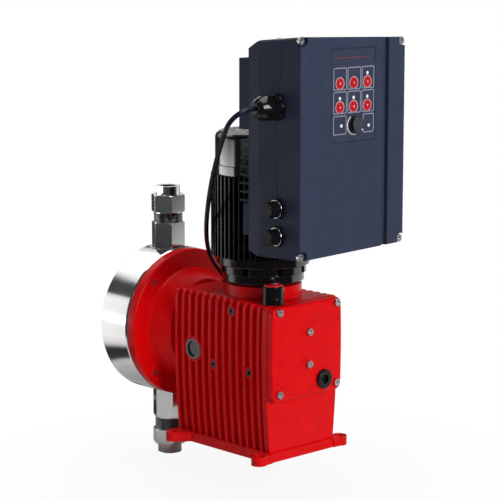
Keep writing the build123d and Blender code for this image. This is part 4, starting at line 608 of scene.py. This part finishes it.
panel_low, panel_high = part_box("keypad_panel")
print_lift = 0.0001         # prints lie this far over what they are printed on
print_x = panel_high.x + print_lift
key_boxes = [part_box(name) for name in key_names]
key_spots = [((low.y + high.y) / 2, (low.z + high.z) / 2) for low, high in key_boxes]
key_low, key_high = key_boxes[-1]
key_r = (key_high.y - key_low.y) / 2
key_tip_x = key_high.x
lamp_rise = 0.0097          # lamp window above its key
lamp_r = 0.0019
frame_w = 0.0011            # light frames round the keys
frame_corner = 0.0020
frame_inset = 0.0006        # from the cell's edge to its frame
cell_top = 0.0172           # cell edges above and below the key centre
cell_bottom = 0.0074
cell_edges_y = (-0.0318, -0.0096, 0.0128, 0.0340)
last_cells_y = (cell_edges_y[:2], (cell_edges_y[2] + 0.0024, cell_edges_y[3]))
last_row_z = (0.3808, 0.4018)
last_lamps = [(-0.0183, 0.3905), (0.0252, 0.3885)]
border_inset = 0.0004
border_w = 0.0007
border_corner = 0.0030
key_ring = (0.0002, 0.0010)             # inner and outer edge, out from the key
key_dot_r = 0.0008
red_line_y = (-0.0287, 0.0300)
red_line_z = (0.4643, 0.4651)
knob_low, knob_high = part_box("speed_knob")
knob_centre = ((knob_low.y + knob_high.y) / 2, (knob_low.z + knob_high.z) / 2)
knob_r = (knob_high.y - knob_low.y) / 2
knob_scale = (0.0006, 0.0018)           # inner and outer edge, out from the knob
scale_arc = (122, 322)      # degrees

lilac, white_ink, red_ink, dark_ink, rose = range(5)
bm = bmesh.new()
frame_strip(bm, print_x, panel_low.y + border_inset, panel_high.y - border_inset,
            panel_low.z + border_inset, panel_high.z - border_inset, border_w, border_corner,
            dark_ink)
for y0, y1 in zip(cell_edges_y, cell_edges_y[1:]):
    for row_z in (key_spots[0][1], key_spots[3][1]):
        frame_strip(bm, print_x, y0 + frame_inset, y1 - frame_inset, row_z - cell_bottom,
                    row_z + cell_top, frame_w, frame_corner, lilac)
for y0, y1 in last_cells_y:
    frame_strip(bm, print_x, y0 + frame_inset, y1 - frame_inset, *last_row_z, frame_w,
                frame_corner, lilac)
for spot in key_spots:
    arc_strip(bm, print_x, spot, key_r + key_ring[0], key_r + key_ring[1], 0, 360, rose)
for lamp in [(y, z + lamp_rise) for y, z in key_spots[2:]] + last_lamps:
    facing_x(bm, print_x, round_spot(lamp, lamp_r), white_ink)
facing_x(bm, print_x, [(red_line_y[0], red_line_z[0]), (red_line_y[1], red_line_z[0]),
                       (red_line_y[1], red_line_z[1]), (red_line_y[0], red_line_z[1])], red_ink)
arc_strip(bm, print_x, knob_centre, knob_r + knob_scale[0], knob_r + knob_scale[1], *scale_arc,
          white_ink)
keypad_print = mesh_object("keypad_print", bm, print_lilac, print_white, print_red, print_dark,
                           print_rose)
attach(keypad_print, "housing")

# A light dot is moulded into the middle of each key.
for name, spot in zip(key_names, key_spots):
    bm = bmesh.new()
    facing_x(bm, key_tip_x + print_lift, round_spot(spot, key_dot_r, 12), 0)
    dot = mesh_object(f"{name}_dot", bm, print_white)
    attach(dot, name)

# The knob's grey face is a thin disc, with a light mark near its rim.
knob_grey = finish_material("knob_grey", (0.036, 0.042, 0.060), 0.38, edge=0, gloss=0.3)
bm = bmesh.new()
face_side = [(knob_r - 0.0009, -0.0002), (knob_r - 0.0010, 0.0003), (knob_r - 0.0014, 0.0005)]
rings = spin_profile(bm, face_side, (knob_high.x, *knob_centre), (1, 0, 0), count=48)
bm.faces.new(rings[-1])
knob_face = mesh_object("knob_face", bm, knob_grey)
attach(knob_face, "knob")
mark_share = 0.52           # of the knob's radius, along both ways
mark_lift = 0.0007
mark_r = 0.0010
mark = (knob_centre[0] + mark_share * knob_r, knob_centre[1] - mark_share * knob_r)
bm = bmesh.new()
facing_x(bm, knob_high.x + mark_lift, round_spot(mark, mark_r, 12), 0)
knob_mark = mesh_object("knob_mark", bm, print_white)
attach(knob_mark, "knob")

# ------------------------------------------------------------------ signal cable
# A limp black jacketed cable leaves the gland, bows out sideways and drops in one long sweep to
# the grommet in the housing top behind the motor.
cable_d = 0.0054
cable_route = [
    (0.11985, -0.1170, 0.4133),
    (0.11985, -0.1262, 0.4133),
    (0.1173, -0.1348, 0.4101),
    (0.1121, -0.1414, 0.4035),
    (0.1055, -0.1431, 0.3950),
    (0.0914, -0.1358, 0.3811),
    (0.0630, -0.1190, 0.3550),
    (0.0295, -0.0970, 0.3230),
    (-0.0035, -0.0730, 0.2890),
    (-0.0330, -0.0490, 0.2570),
    (-0.0530, -0.0285, 0.2315),
    (-0.0640, -0.0105, 0.2115),
    (-0.0690, 0.0060, 0.1980),
    (-0.0716, 0.0170, 0.1868),
]
cable_curve = bpy.data.curves.new("signal_cable_line", "CURVE")
cable_curve.dimensions = "3D"
cable_curve.bevel_depth = cable_d / 2
cable_curve.bevel_resolution = 6
cable_curve.resolution_u = 16
cable_curve.use_fill_caps = True
cable_line = cable_curve.splines.new("NURBS")
cable_line.points.add(len(cable_route) - 1)
for point, place in zip(cable_line.points, cable_route):
    point.co = (*place, 1.0)
cable_line.order_u = 3
cable_line.use_endpoint_u = True
cable = bpy.data.objects.new("cable_jacket", cable_curve)
bpy.context.scene.collection.objects.link(cable)
jacket = finish_material("cable_jacket", (0.005, 0.009, 0.020), 0.34, edge=0, grain=0.1, gloss=0.2)
cable_curve.materials.append(jacket)
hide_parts("signal_cable")
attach(cable, "housing")
